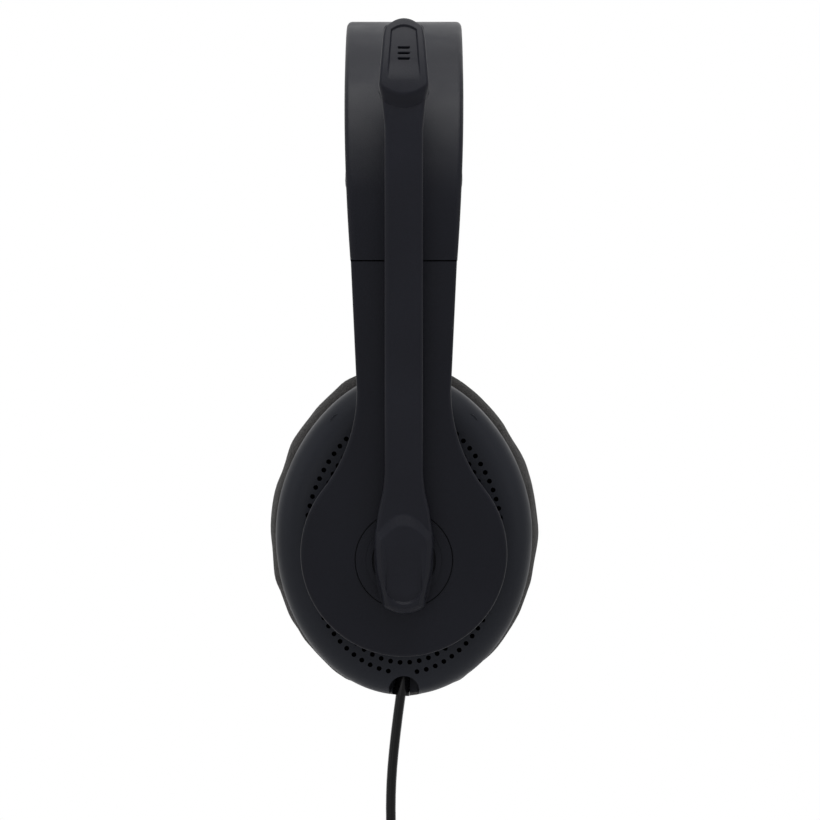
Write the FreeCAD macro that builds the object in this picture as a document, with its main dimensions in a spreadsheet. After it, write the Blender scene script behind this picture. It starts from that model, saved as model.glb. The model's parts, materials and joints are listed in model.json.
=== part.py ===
import FreeCAD, Part
import math
import os
import re
import Sketcher

# Office headset, millimetres. X runs from ear to ear with the microphone side at +X, the wearer
# looks along -Y, Z is up. The origin is the middle of the headband pad's underside, where the
# head carries it. Each ear's pieces are drawn in a side frame: its origin is the joint line
# between band and arm, x points outwards from the arm's outer face, z runs up the arm.

Vector = FreeCAD.Vector
Rotation = FreeCAD.Rotation
Placement = FreeCAD.Placement

doc = FreeCAD.newDocument("office_headset")
sheet = doc.addObject("Spreadsheet::Sheet", "sheet")

SIZES = {
    # headband: a flat top arc and two tighter shoulders that run into the leaning arms
    "band_top_radius": 94,
    "band_shoulder_radius": 63,
    "band_top_angle": 40,
    "arm_lean": 3,
    "band_depth": 7,
    "band_width": 33.6,
    "band_end_width": 29.7,
    "band_straight_drop": 20,
    "outer_cover_depth": 4.2,
    "outer_cover_skin": 3,
    "inner_cover_inset": 0.6,
    "cover_gap": 0.2,
    "strip_width": 16,
    "strip_thickness": 0.8,
    "strip_half_angle": 77,
    "band_edge_radius": 1.6,
    "pad_depth": 8.7,
    "pad_overhang": 0.5,
    "pad_half_angle": 71,
    "pad_edge_radius": 3,
    "soft_gap": 0.3,
    # slider rail and the arm that runs on it
    "rail_depth": 3.1,
    "rail_thickness": 0.8,
    "rail_width": 14,
    "rail_reach": 40,
    "rail_grip": 12,
    "rail_screw_spread": 4.5,
    "rail_screw_height": 6,
    "slide_clearance": 0.3,
    "slide_travel": 28,
    "arm_top_width": 29.5,
    "arm_neck_width": 26.2,
    "arm_flare_radius": 45,
    "spoon_radius": 28.8,
    "spoon_drop": 81.5,
    "arm_shell_depth": 2.8,
    "arm_cover_depth": 2.4,
    "arm_cover_inset": 0.8,
    "arm_edge_radius": 1,
    "arm_screw_radius": 1.1,
    "detent_length": 8,
    "detent_width": 2.4,
    # boom: turret disc in the spoon, hub, stalk along the band, microphone capsule
    "pivot_drop": 83.2,
    "turret_radius": 13.4,
    "turret_sink": 1.2,
    "turret_rise": 0.6,
    "ring_radius": 10.4,
    "ring_wall": 1.5,
    "ring_rise": 1,
    "boom_lift": 2.7,
    "boom_rise": 20,
    "boom_depth": 5,
    "boom_split": 2.4,
    "stalk_width": 10.6,
    "hub_width": 16.4,
    "hub_end": 14.4,
    "hub_rise": 19,
    "boss_radius": 7.6,
    "shaft_radius": 4,
    "shaft_clearance": 0.05,
    "clip_radius": 7,
    "clip_thickness": 0.9,
    "capsule_start_angle": 71,
    "capsule_tip_angle": 51,
    "capsule_depth": 7.6,
    "capsule_width": 14,
    "capsule_tip_width": 11.2,
    "capsule_wall": 1.2,
    "slot_length": 3.2,
    "slot_width": 0.6,
    "slot_pitch": 1.5,
    "slot_drop": 9.8,
    "capsule_recess": 0.45,
    "hub_rise": 1.5,
    "hub_bevel": 1.2,
    "hub_recess": 0.6,
    "hub_recess_width": 10,
    "microphone_radius": 3,
    # ear cup: perforated shell on a gimbal, speaker, baffle and cushion
    "cup_gap": 4.4,
    "vent_inset": 8.6,
    "vent_drop": 1.4,
    "vent_row_gap": 2.9,
    "vent_pitch": 2.7,
    "vent_radius": 0.68,
    "vent_depth": 1.1,
    "cup_drop": 77.5,
    "cup_half_width": 36.2,
    "cup_half_height": 45.5,
    "cup_depth": 17.3,
    "cup_wall": 2,
    "cup_edge_radius": 8,
    "gimbal_depth": 6,
    "gimbal_thickness": 3.4,
    "gimbal_bar": 2.4,
    "gimbal_window": 8,
    "gimbal_window_height": 10,
    "stud_radius": 2.8,
    "stud_bore": 4.8,
    "stud_head_width": 4.4,
    "stud_head_height": 9.2,
    "flange_radius": 9,
    "flange_thickness": 1,
    "pin_radius": 1,
    "pin_clearance": 0.05,
    "lug_thickness": 2.2,
    "baffle_thickness": 2,
    "driver_radius": 20,
    "driver_depth": 3,
    "magnet_radius": 9,
    "magnet_depth": 2.2,
    "driver_window_radius": 15,
    "diaphragm_thickness": 0.4,
    "cushion_plate_thickness": 2,
    "cushion_depth": 17,
    "cushion_overhang": 2.3,
    "cushion_wall": 15.5,
    "cushion_edge_radius": 6.5,
    "ear_cloth_thickness": 0.6,
    "cup_screw_radius": 1.2,
    "felt_thickness": 0.6,
    # cord, its exit, plug and coil
    "exit_depth": 9,
    "exit_pocket_radius": 4.25,
    "exit_pocket_rise": 2,
    "relief_root_radius": 1.8,
    "relief_end_radius": 2.55,
    "relief_length": 5.6,
    "relief_lean": 8,
    "cord_radius": 1.4,
    "coil_radius": 16.75,
    "coil_section_radius": 7,
    "tie_width": 8,
    "tie_wall": 1,
    "plug_radius": 4,
    "plug_length": 22,
    "plug_tip_radius": 1.75,
    "plug_sleeve_length": 11,
    "board_thickness": 1,
}

for row, (word, number) in enumerate(SIZES.items(), start=1):
    sheet.set("A%d" % row, str(number))
    sheet.setAlias("A%d" % row, word)
doc.recompute()


def size(word):
    """The sheet's value for a named size."""
    return float(sheet.get(word))


def formula(text):
    """An expression in which each named size points to its cell of the sheet."""
    return re.sub(r"[a-z_]+", lambda found: "sheet." + found.group()
                  if found.group() in SIZES else found.group(), text)


def bind(thing, **formulas):
    for property_name, text in formulas.items():
        thing.setExpression(property_name.replace("__", "."), formula(text))


# ---- the arch and the side frames -----------------------------------------------------------

top_angle = math.radians(size("band_top_angle"))
lean = math.radians(size("arm_lean"))
stack = size("band_depth") + size("soft_gap") + size("pad_depth")
top_centre = Vector(0, 0, stack - size("band_top_radius"))
shoulder_step = size("band_top_radius") - size("band_shoulder_radius")
shoulder_centre = top_centre + Vector(math.sin(top_angle), 0, math.cos(top_angle)) * shoulder_step
joint_point = shoulder_centre + Vector(math.cos(lean), 0, -math.sin(lean)) * size("band_shoulder_radius")

LEFT = Placement(joint_point, Rotation(Vector(0, 1, 0), math.degrees(lean)))
RIGHT = Placement(Vector(0, 0, 0), Rotation(Vector(0, 0, 1), 180)).multiply(LEFT)
SIDES = {"left": LEFT, "right": RIGHT}

parts = []


def keep(thing, name, placement=None):
    """Name a finished sub-part and set it in its place, unless it was made there."""
    thing.Label = name
    if placement is not None:
        thing.Placement = placement
    parts.append(thing)
    return thing


# ---- sketches and features ------------------------------------------------------------------

def new_body(name):
    return doc.addObject("PartDesign::Body", name)


def new_sketch(body, role, name, lift=None):
    """A sketch on one of the body's own origin planes, lifted along the plane's normal."""
    sketch = body.newObject("Sketcher::SketchObject", name)
    plane = next(f for f in body.Origin.OriginFeatures if f.Role == role)
    sketch.AttachmentSupport = (plane, [""])
    sketch.MapMode = "FlatFace"
    if lift:
        bind(sketch, AttachmentOffset__Base__z=lift)
    return sketch


def ends(edge):
    if hasattr(edge, "StartPoint"):
        return edge.StartPoint, edge.EndPoint
    return edge.value(edge.FirstParameter), edge.value(edge.LastParameter)


def draw_chain(sketch, edges, radii=None):
    """Add a closed chain of lines and arcs, joined end to end, with bound radii."""
    first = sketch.GeometryCount
    sketch.addGeometry(edges, False)
    for i, edge in enumerate(edges):
        following = (i + 1) % len(edges)
        for a, point in enumerate(ends(edge), start=1):
            for b, other in enumerate(ends(edges[following]), start=1):
                if point.distanceToPoint(other) < 1e-6:
                    sketch.addConstraint(Sketcher.Constraint("Coincident", first + i, a, first + following, b))
    for i, text in (radii or {}).items():
        number = sketch.addConstraint(Sketcher.Constraint("Radius", first + i, edges[i].Radius))
        sketch.setExpression("Constraints[%d]" % number, formula(text))


def draw_circle(sketch, radius, u=None, v=None):
    """A circle with a bound radius; u and v are formulas of its centre, or on the axis."""
    index = sketch.addGeometry(Part.Circle(Vector(0, 0, 0), Vector(0, 0, 1), 1), False)
    for kind, text in (("DistanceX", u), ("DistanceY", v)):
        if text is None:
            axis = -2 if kind == "DistanceX" else -1
            sketch.addConstraint(Sketcher.Constraint("PointOnObject", index, 3, axis))
        else:
            number = sketch.addConstraint(Sketcher.Constraint(kind, -1, 1, index, 3, 1.0))
            sketch.setExpression("Constraints[%d]" % number, formula(text))
    number = sketch.addConstraint(Sketcher.Constraint("Radius", index, 1.0))
    sketch.setExpression("Constraints[%d]" % number, formula(radius))


def draw_polygon(sketch, points):
    edges = [Part.LineSegment(Vector(*points[i - 1], 0), Vector(*points[i], 0)) for i in range(len(points))]
    draw_chain(sketch, edges)


def draw_box(sketch, u, v, width, height):
    """A rectangle centred on (u, v), all four given as formulas."""
    number = [(-1, -1), (1, -1), (1, 1), (-1, 1)]
    first = sketch.GeometryCount
    draw_polygon(sketch, number)
    sketch.addConstraint([Sketcher.Constraint("Vertical", first), Sketcher.Constraint("Horizontal", first + 1),
                          Sketcher.Constraint("Vertical", first + 2), Sketcher.Constraint("Horizontal", first + 3)])
    sides = (("DistanceX", first, "(%s) - (%s) / 2" % (u, width)), ("DistanceX", first + 2, "(%s) + (%s) / 2" % (u, width)),
             ("DistanceY", first + 1, "(%s) - (%s) / 2" % (v, height)), ("DistanceY", first + 3, "(%s) + (%s) / 2" % (v, height)))
    for kind, line, text in sides:
        index = sketch.addConstraint(Sketcher.Constraint(kind, -1, 1, line, 2, 1.0))
        sketch.setExpression("Constraints[%d]" % index, formula(text))


def pad(body, sketch, length, both=False, reverse=False):
    feature = body.newObject("PartDesign::Pad", sketch.Name + "_pad")
    feature.Profile = sketch
    feature.SideType = "Symmetric" if both else "One side"
    feature.Reversed = reverse
    bind(feature, Length=length)
    return feature


def pocket(body, sketch, length=None, both=False, reverse=False):
    """Cut a sketch out of the body, to a formula's depth or right through both ways."""
    feature = body.newObject("PartDesign::Pocket", sketch.Name + "_pocket")
    feature.Profile = sketch
    feature.SideType = "Symmetric" if both else "One side"
    feature.Reversed = reverse
    if length:
        bind(feature, Length=length)
    else:
        feature.Type = "ThroughAll"
    return feature


def round_edges(body, choose, radius):
    """Fillet those edges of the body's tip whose middle the choose function accepts."""
    doc.recompute()
    base = body.Tip
    names = ["Edge%d" % (i + 1) for i, edge in enumerate(base.Shape.Edges)
             if choose(edge.valueAt((edge.FirstParameter + edge.LastParameter) / 2), edge)]
    feature = body.newObject("PartDesign::Fillet", body.Name + "_round%d" % len(body.Group))
    feature.Base = (base, names)
    bind(feature, Radius=radius)
    return feature


# ---- plain solids and booleans --------------------------------------------------------------

def rod(name, radius, length, start, frame=Placement(), axis="x"):
    """A cylinder that starts at a point of a frame and runs along that frame's x, y or z."""
    turns = {"x": Rotation(Vector(0, 1, 0), 90), "y": Rotation(Vector(1, 0, 0), -90), "z": Rotation()}
    solid = doc.addObject("Part::Cylinder", name)
    bind(solid, Radius=radius, Height=length)
    solid.Placement = frame.multiply(Placement(start, turns[axis]))
    return solid


def block(name, length, width, height, corner, frame=Placement()):
    """A box whose low corner is a point of a frame; its three sizes are formulas."""
    solid = doc.addObject("Part::Box", name)
    bind(solid, Length=length, Width=width, Height=height)
    solid.Placement = frame.multiply(Placement(corner, Rotation()))
    return solid


def fused(name, shapes):
    whole = doc.addObject("Part::MultiFuse", name)
    whole.Shapes = shapes
    return whole


def group(name, shapes):
    """Several separate solids in one sub-part."""
    whole = doc.addObject("Part::Compound", name)
    whole.Links = shapes
    return whole


def cut(name, base, tools):
    result = doc.addObject("Part::Cut", name)
    result.Base = base
    result.Tool = tools[0] if len(tools) == 1 else fused(name + "_tools", tools)
    return result


# ---- headband -------------------------------------------------------------------------------

def arch_edges(outer, inner, half_angle):
    """The closed outline between two depths under the band's outer face, ends square to it."""
    end = math.radians(half_angle)
    quarter = math.pi / 2
    edges = []

    def arc(centre, radius, start, stop):
        circle = Part.Circle(Vector(centre.x, centre.z, 0), Vector(0, 0, 1), radius)
        edges.append(Part.ArcOfCircle(circle, start, stop))

    mirrored = Vector(-shoulder_centre.x, 0, shoulder_centre.z)
    for depth in (outer, inner):
        shoulder = size("band_shoulder_radius") - depth
        arc(shoulder_centre, shoulder, quarter - end, quarter - top_angle)
        arc(top_centre, size("band_top_radius") - depth, quarter - top_angle, quarter + top_angle)
        arc(mirrored, shoulder, quarter + top_angle, quarter + end)
        if depth == outer:
            edges.append(None)
    inner_run = edges[:3:-1]
    outer_run = edges[:3]
    first_line = Part.LineSegment(ends(outer_run[2])[1], ends(inner_run[0])[1])
    last_line = Part.LineSegment(ends(inner_run[2])[0], ends(outer_run[0])[0])
    return outer_run + [first_line] + inner_run + [last_line]


def arch(body, name, outer, inner, half_angle, width, cutting=False):
    """Pad or pocket an arch-shaped layer of the band, evenly to both sides of the middle."""
    sketch = new_sketch(body, "XZ_Plane", name)
    draw_chain(sketch, arch_edges(outer, inner, half_angle))
    return (pocket if cutting else pad)(body, sketch, width, both=True)


def band_side_edges(inset):
    """The band seen from the side: full width on top, narrowing in an arc down to the joint line."""
    half = size("band_width") / 2 - inset
    narrowing = (size("band_width") - size("band_end_width")) / 2
    top = stack - size("band_straight_drop")
    fall = top - joint_point.z
    radius = (fall ** 2 + narrowing ** 2) / (2 * narrowing)
    sweep = math.asin(fall / radius)
    edges = []
    right = Part.ArcOfCircle(Part.Circle(Vector(half - radius, top, 0), Vector(0, 0, 1), radius), -sweep, 0)
    left = Part.ArcOfCircle(Part.Circle(Vector(radius - half, top, 0), Vector(0, 0, 1), radius),
                            math.pi, math.pi + sweep)
    above = Vector(0, stack + 2, 0)
    low_left, low_right = ends(left)[1], ends(right)[0]
    below = Vector(0, joint_point.z - 2, 0)
    corners = [ends(right)[1], Vector(half, above.y, 0), Vector(-half, above.y, 0), ends(left)[0]]
    edges += [Part.LineSegment(corners[i], corners[i + 1]) for i in range(3)]
    edges.append(left)
    corners = [low_left, Vector(low_left.x, below.y, 0), Vector(low_right.x, below.y, 0), low_right]
    edges += [Part.LineSegment(corners[i], corners[i + 1]) for i in range(3)]
    edges.append(right)
    return edges


def trim_band_sides(body, name, inset):
    sketch = new_sketch(body, "YZ_Plane", name)
    draw_chain(sketch, band_side_edges(inset))
    reach = size("band_width")
    low, high = joint_point.z - 4, stack + 4
    draw_polygon(sketch, [(-reach, low), (reach, low), (reach, high), (-reach, high)])
    return pocket(body, sketch, both=True)


def arch_depth(point):
    """How deep a point of the XZ plane lies under the band's outer face."""
    flat = Vector(abs(point.x), 0, point.z)
    if math.atan2(flat.x, flat.z - top_centre.z) < top_angle:
        return size("band_top_radius") - flat.distanceToPoint(top_centre)
    return size("band_shoulder_radius") - flat.distanceToPoint(shoulder_centre)


full_angle = 90 + size("arm_lean")


def at_depth(depth):
    """Choose the long edges that run along the arch at a given depth."""
    return lambda middle, edge: abs(arch_depth(middle) - depth) < 0.05 and abs(middle.y) > size("rail_width")


def make_headband():
    body = new_body("outer_cover_body")
    arch(body, "outer_cover_arch", 0, size("outer_cover_depth"), full_angle, "band_width")
    trim_band_sides(body, "outer_cover_sides", 0)
    arch(body, "outer_cover_groove", size("outer_cover_skin"), size("outer_cover_depth") + 1, full_angle,
         "strip_width + 4 * slide_clearance", cutting=True)
    round_edges(body, at_depth(0), "band_edge_radius")
    pockets = []
    screw_bores = []
    screws = []
    for side, frame in SIDES.items():
        wide = size("rail_width") / 2 + size("slide_clearance")
        low_face = -size("rail_depth") - size("rail_thickness") - size("slide_clearance")
        pockets.append(block(side + "_rail_pocket", "rail_thickness + 2 * slide_clearance",
                             "rail_width + 2 * slide_clearance", "rail_grip + 1 + slide_clearance",
                             Vector(low_face, -wide, -1), frame))
        for way in (-1, 1):
            start = Vector(-size("band_depth") + 0.6, way * size("rail_screw_spread"), size("rail_screw_height"))
            tag = "%s_band_screw_%s" % (side, "back" if way > 0 else "front")
            screws.append(rod(tag, "pin_radius", "band_depth - rail_depth + 0.4", start, frame))
            bore_start = start - Vector(1.6, 0, 0)
            screw_bores.append(rod(tag + "_bore", "pin_radius + pin_clearance", "band_depth - rail_depth + 2.1",
                                   bore_start, frame))
    keep(cut("outer_cover", body, pockets + screw_bores), "headband_outer_cover")
    inner = new_body("inner_cover_body")
    arch(inner, "inner_cover_arch", size("outer_cover_depth") + size("cover_gap"), size("band_depth"), full_angle,
         "band_width")
    trim_band_sides(inner, "inner_cover_sides", size("inner_cover_inset"))
    more_bores = [rod(bore.Name + "_inner", "pin_radius + pin_clearance", "band_depth - rail_depth + 2.1",
                      Vector(), bore.Placement) for bore in screw_bores]
    for bore, first in zip(more_bores, screw_bores):
        bore.Placement = first.Placement
    keep(cut("inner_cover", inner, more_bores), "headband_inner_cover")
    strip = new_body("strip_body")
    middle = (size("outer_cover_skin") + size("outer_cover_depth")) / 2
    arch(strip, "strip_arch", middle - size("strip_thickness") / 2, middle + size("strip_thickness") / 2,
         size("strip_half_angle"), "strip_width")
    keep(strip, "headband_spring_strip")
    cushion = new_body("headband_pad_body")
    arch(cushion, "pad_arch", size("band_depth") + size("soft_gap"), stack, size("pad_half_angle"),
         "band_width + 2 * pad_overhang")
    round_edges(cushion, at_depth(stack), "pad_edge_radius")
    keep(cushion, "headband_pad")
    keep(group("band_screws", screws), "headband_screws")


def make_rail(side):
    """The steel rail that is screwed into the band's end and that the arm slides along."""
    body = new_body(side + "_rail_body")
    sketch = new_sketch(body, "YZ_Plane", side + "_rail_outline", "-rail_depth")
    draw_box(sketch, "0", "(rail_grip - rail_reach) / 2", "rail_width", "rail_grip + rail_reach")
    for way in ("-", ""):
        draw_circle(sketch, "pin_radius + pin_clearance", way + "rail_screw_spread", "rail_screw_height")
    pad(body, sketch, "rail_thickness", reverse=True)
    keep(body, side + "_slider_rail", SIDES[side])


# ---- arms -----------------------------------------------------------------------------------

def arm_edges(inset):
    """The arm's outline: a tapering blade that flares into the round spoon over the ear cup."""
    top = size("arm_top_width") / 2 - inset
    neck = size("arm_neck_width") / 2 - inset
    spoon = size("spoon_radius") - inset
    flare = size("arm_flare_radius") + inset
    middle = -size("spoon_drop")
    side = neck + flare
    neck_height = middle + math.sqrt((spoon + flare) ** 2 - side ** 2)
    slant = math.atan2(neck_height - middle, side)

    def arc(centre, radius, start, stop):
        return Part.ArcOfCircle(Part.Circle(Vector(*centre, 0), Vector(0, 0, 1), radius), start, stop)

    return [Part.LineSegment(Vector(-top, -inset, 0), Vector(top, -inset, 0)),
            Part.LineSegment(Vector(top, -inset, 0), Vector(neck, neck_height, 0)),
            arc((side, neck_height), flare, math.pi, math.pi + slant),
            arc((0, middle), spoon, math.pi - slant, 2 * math.pi + slant),
            arc((-side, neck_height), flare, -slant, 0),
            Part.LineSegment(Vector(-neck, neck_height, 0), Vector(-top, -inset, 0))]


ARM_SCREWS = [(y, z) for y in ("-spoon_radius * 0.7", "spoon_radius * 0.7")
              for z in ("-spoon_drop - spoon_radius * 0.35", "-spoon_drop + spoon_radius * 0.35")]


def make_arm(side):
    frame = SIDES[side]
    shell = new_body(side + "_arm_shell_body")
    outline = new_sketch(shell, "YZ_Plane", side + "_arm_outline")
    draw_chain(outline, arm_edges(0), {2: "arm_flare_radius", 3: "spoon_radius", 4: "arm_flare_radius"})
    pad(shell, outline, "arm_shell_depth", reverse=True)
    round_edges(shell, lambda middle, edge: abs(middle.x) < 0.01 and middle.z < -1, "arm_edge_radius")
    recess = new_sketch(shell, "YZ_Plane", side + "_turret_recess")
    draw_circle(recess, "turret_radius + slide_clearance", None, "-pivot_drop")
    pocket(shell, recess, "turret_sink")
    screw_holes = new_sketch(shell, "YZ_Plane", side + "_arm_screw_holes", "-arm_shell_depth")
    for y, z in ARM_SCREWS:
        draw_circle(screw_holes, "arm_screw_radius + pin_clearance", y, z)
    pocket(shell, screw_holes, "arm_shell_depth / 2", reverse=True)
    if side == "left":
        bore = new_sketch(shell, "YZ_Plane", side + "_pivot_bore")
        draw_circle(bore, "shaft_radius + shaft_clearance", None, "-pivot_drop")
        pocket(shell, bore, "2 * arm_shell_depth")
    keep(shell, side + "_arm_shell", frame)

    cover = new_body(side + "_arm_cover_body")
    outline = new_sketch(cover, "YZ_Plane", side + "_cover_outline", "-arm_shell_depth")
    draw_chain(outline, arm_edges(size("arm_cover_inset")))
    for y, z in ARM_SCREWS:
        draw_circle(outline, "arm_screw_radius + pin_clearance", y, z)
    if side == "left":
        draw_circle(outline, "clip_radius + slide_clearance", None, "-pivot_drop")
    pad(cover, outline, "arm_cover_depth", reverse=True)
    round_edges(cover, lambda middle, edge: abs(middle.x + size("arm_shell_depth") + size("arm_cover_depth")) < 0.01
                and edge.Length > 25 and middle.z < -5, "arm_edge_radius")
    channel_depth = "rail_depth + rail_thickness + slide_clearance - arm_shell_depth"
    channel = new_sketch(cover, "YZ_Plane", side + "_rail_channel", "-arm_shell_depth")
    draw_box(channel, "0", "(1 - rail_reach - slide_clearance) / 2", "rail_width + 2 * slide_clearance",
             "rail_reach + slide_clearance + 1")
    pocket(cover, channel, channel_depth)
    seat = new_sketch(cover, "YZ_Plane", side + "_detent_seat", "-arm_shell_depth")
    draw_box(seat, "rail_width / 2 + (detent_width + slide_clearance) / 2", "-rail_reach / 2",
             "detent_width + slide_clearance", "detent_length")
    pocket(cover, seat, channel_depth)
    heads = new_sketch(cover, "YZ_Plane", side + "_arm_screw_heads", "-arm_shell_depth - arm_cover_depth")
    for y, z in ARM_SCREWS:
        draw_circle(heads, "2 * arm_screw_radius", y, z)
    pocket(cover, heads, "arm_cover_depth / 2", reverse=True)
    keep(cover, side + "_arm_cover", frame)

    nose = Vector(-size("rail_depth") - size("rail_thickness"),
                  size("rail_width") / 2 + size("slide_clearance"), -(size("rail_reach") + size("detent_length")) / 2)
    keep(block(side + "_detent", "rail_thickness", "detent_width", "detent_length", nose, frame),
         side + "_slider_detent")
    screws = []
    spread, rise = 0.7 * size("spoon_radius"), 0.35 * size("spoon_radius")
    for y in (-spread, spread):
        for z in (-size("spoon_drop") - rise, -size("spoon_drop") + rise):
            tag = "%s_arm_screw_%d" % (side, len(screws))
            face = -size("arm_shell_depth") - size("arm_cover_depth")
            head = rod(tag + "_head", "2 * arm_screw_radius - 0.2", "arm_cover_depth / 2 - 0.2",
                       Vector(face + 0.2, y, z), frame)
            shaft = rod(tag + "_shaft", "arm_screw_radius", "arm_cover_depth / 2 + arm_shell_depth / 2 - 0.1",
                        Vector(face + size("arm_cover_depth") / 2, y, z), frame)
            screws.append(fused(tag, [head, shaft]))
    keep(group(side + "_arm_screw_set", screws), side + "_arm_screws")


# ---- boom -----------------------------------------------------------------------------------

shoulder_end = math.pi / 2 + lean - top_angle
local_top = Vector(-size("band_shoulder_radius"), 0, 0) - Vector(
    math.cos(shoulder_end), math.sin(shoulder_end), 0) * shoulder_step


def boom_edges(low, high, start, stop):
    """A layer of the boom between two lifts above the arm's face, in the side frame's XZ plane.
    A start of None begins at the hub's lower end; the angles are measured from the vertical.
    The curve is the band's own shoulder raised by the arm's travel, so the parked boom clears the band
    wherever the arm is set."""
    shoulder = Vector(-size("band_shoulder_radius"), size("boom_rise"), 0)
    foot = -size("pivot_drop") - size("hub_end") - 1
    first = None if start is None else math.pi / 2 + lean - math.radians(start)
    last = math.pi / 2 + lean - math.radians(stop)

    def run(lift):
        edges = []
        if start is None:
            edges.append(Part.LineSegment(Vector(lift, foot, 0), Vector(lift, shoulder.y, 0)))
        circle = Part.Circle(shoulder, Vector(0, 0, 1), size("band_shoulder_radius") + lift)
        edges.append(Part.ArcOfCircle(circle, first or 0, last))
        return edges

    outer, inner = run(high), run(low)
    tip = Part.LineSegment(ends(outer[-1])[1], ends(inner[-1])[1])
    base = Part.LineSegment(ends(inner[0])[0], ends(outer[0])[0])
    return outer + [tip] + inner[::-1] + [base]


def boom_level(angle):
    """Height in the side frame of the stalk's outer face where it has turned to an angle from the vertical."""
    reach = size("band_shoulder_radius") + size("boom_lift") + size("boom_depth")
    return size("boom_rise") + reach * math.sin(math.pi / 2 + lean - math.radians(size(angle)))


def boom_side_edges(inset):
    """The boom seen from its outer side: shield-shaped hub, even stalk, tapering capsule."""
    pivot = -size("pivot_drop")
    stalk = size("stalk_width") / 2 - inset
    hub = size("hub_width") / 2 - inset
    foot = hub * 0.72
    capsule = size("capsule_width") / 2 - inset
    tip = size("capsule_tip_width") / 2 - inset
    waist, crown = boom_level("capsule_start_angle"), boom_level("capsule_tip_angle")
    half = [(hub * 0.72, pivot - size("hub_end") + 2 + inset), (hub * 0.94, pivot - 4.5), (hub, pivot + 3.6),
            (hub * 0.86, pivot + 12), (stalk, pivot + 22), (stalk, waist - 3.5), (capsule, waist), (tip, crown - 2.5 - inset)]
    right = [Vector(y, z, 0) for y, z in half]
    left = [Vector(-y, z, 0) for y, z in half]
    bottom = Vector(0, pivot - size("hub_end") + inset, 0)
    top = Vector(0, crown + 0.5 - inset, 0)
    return [Part.Arc(left[0], bottom, right[0]), Part.Arc(right[0], right[1], right[2]),
            Part.Arc(right[2], right[3], right[4]), Part.LineSegment(right[4], right[5]),
            Part.LineSegment(right[5], right[6]), Part.LineSegment(right[6], right[7]),
            Part.Arc(right[7], top, left[7]), Part.LineSegment(left[7], left[6]),
            Part.LineSegment(left[6], left[5]), Part.LineSegment(left[5], left[4]),
            Part.Arc(left[4], left[3], left[2]), Part.Arc(left[2], left[1], left[0])]


def boom_layer(body, name, low, high, start, stop, inset=0):
    """Pad a layer of the boom and trim it to the boom's side outline."""
    sketch = new_sketch(body, "XZ_Plane", name)
    draw_chain(sketch, boom_edges(low, high, start, stop))
    pad(body, sketch, "2 * hub_width", both=True)
    trim = new_sketch(body, "YZ_Plane", name + "_sides")
    draw_chain(trim, boom_side_edges(inset))
    reach = 2 * size("hub_width")
    low_end, high_end = -size("pivot_drop") - 3 * size("hub_end"), size("band_top_radius")
    draw_polygon(trim, [(-reach, low_end), (reach, low_end), (reach, high_end), (-reach, high_end)])
    pocket(body, trim, both=True)


def make_boom():
    lift = size("boom_lift")
    split = lift + size("boom_split")
    top = lift + size("boom_depth")
    start, tip = size("capsule_start_angle"), size("capsule_tip_angle")
    inner = new_body("boom_inner_body")
    boom_layer(inner, "boom_inner", lift, split, None, tip)
    boss = new_sketch(inner, "YZ_Plane", "boom_boss", "turret_rise")
    draw_circle(boss, "boss_radius", None, "-pivot_drop")
    pad(inner, boss, "boom_lift - turret_rise + boom_split / 2")
    keep(inner, "boom_inner_shell", LEFT)
    outer = new_body("boom_outer_body")
    boom_layer(outer, "boom_outer", split, top, None, start)
    round_edges(outer, lambda middle, edge: edge.Length > 3 and abs(boom_height(middle) - top) < 0.05
                and abs(middle.y) > 1, "arm_edge_radius")
    hub = fused("boom_outer_with_hub", [outer, hub_cap(top)])
    keep(cut("boom_outer_hollowed", hub, [hub_recess(top + size("hub_rise"))]), "boom_outer_shell", LEFT)
    capsule = new_body("boom_capsule_body")
    boom_layer(capsule, "boom_capsule", split, lift + size("capsule_depth"), start - 0.3, tip)
    hollow = new_sketch(capsule, "XZ_Plane", "capsule_hollow")
    draw_chain(hollow, boom_edges(split - 1, lift + size("capsule_depth") - size("capsule_wall"), start - 4, tip + 4))
    pocket(capsule, hollow, "capsule_tip_width - 2 * capsule_wall", both=True)
    slots = new_sketch(capsule, "YZ_Plane", "capsule_slots")
    middle = boom_level("capsule_tip_angle") - size("slot_drop")
    for step in (-1, 0, 1):
        draw_box(slots, "0", "%.3f + %d * slot_pitch" % (middle, step), "slot_length", "slot_width")
    pocket(capsule, slots, both=True)
    recess = capsule_recess(lift + size("capsule_depth"), start, tip)
    keep(cut("boom_capsule_hollowed", capsule, [recess]), "boom_mic_cover", LEFT)
    turned_by = math.asin((middle - size("boom_rise")) / (size("band_shoulder_radius") + top))
    direction = Vector(math.cos(turned_by), 0, math.sin(turned_by))
    seat = Placement(Vector(-size("band_shoulder_radius"), 0, size("boom_rise"))
                     + direction * (size("band_shoulder_radius") + split), Rotation(Vector(1, 0, 0), direction))
    keep(rod("mic_element", "microphone_radius", "boom_split", Vector(0.1, 0, 0), LEFT.multiply(seat)),
         "boom_microphone")


def boom_height(point):
    """How far a point of the side frame lies above the arm's face or the raised arch that the boom follows."""
    if point.z < size("boom_rise"):
        return point.x
    centre = Vector(-size("band_shoulder_radius"), 0, size("boom_rise"))
    return Vector(point.x, 0, point.z).distanceToPoint(centre) - size("band_shoulder_radius")


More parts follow.
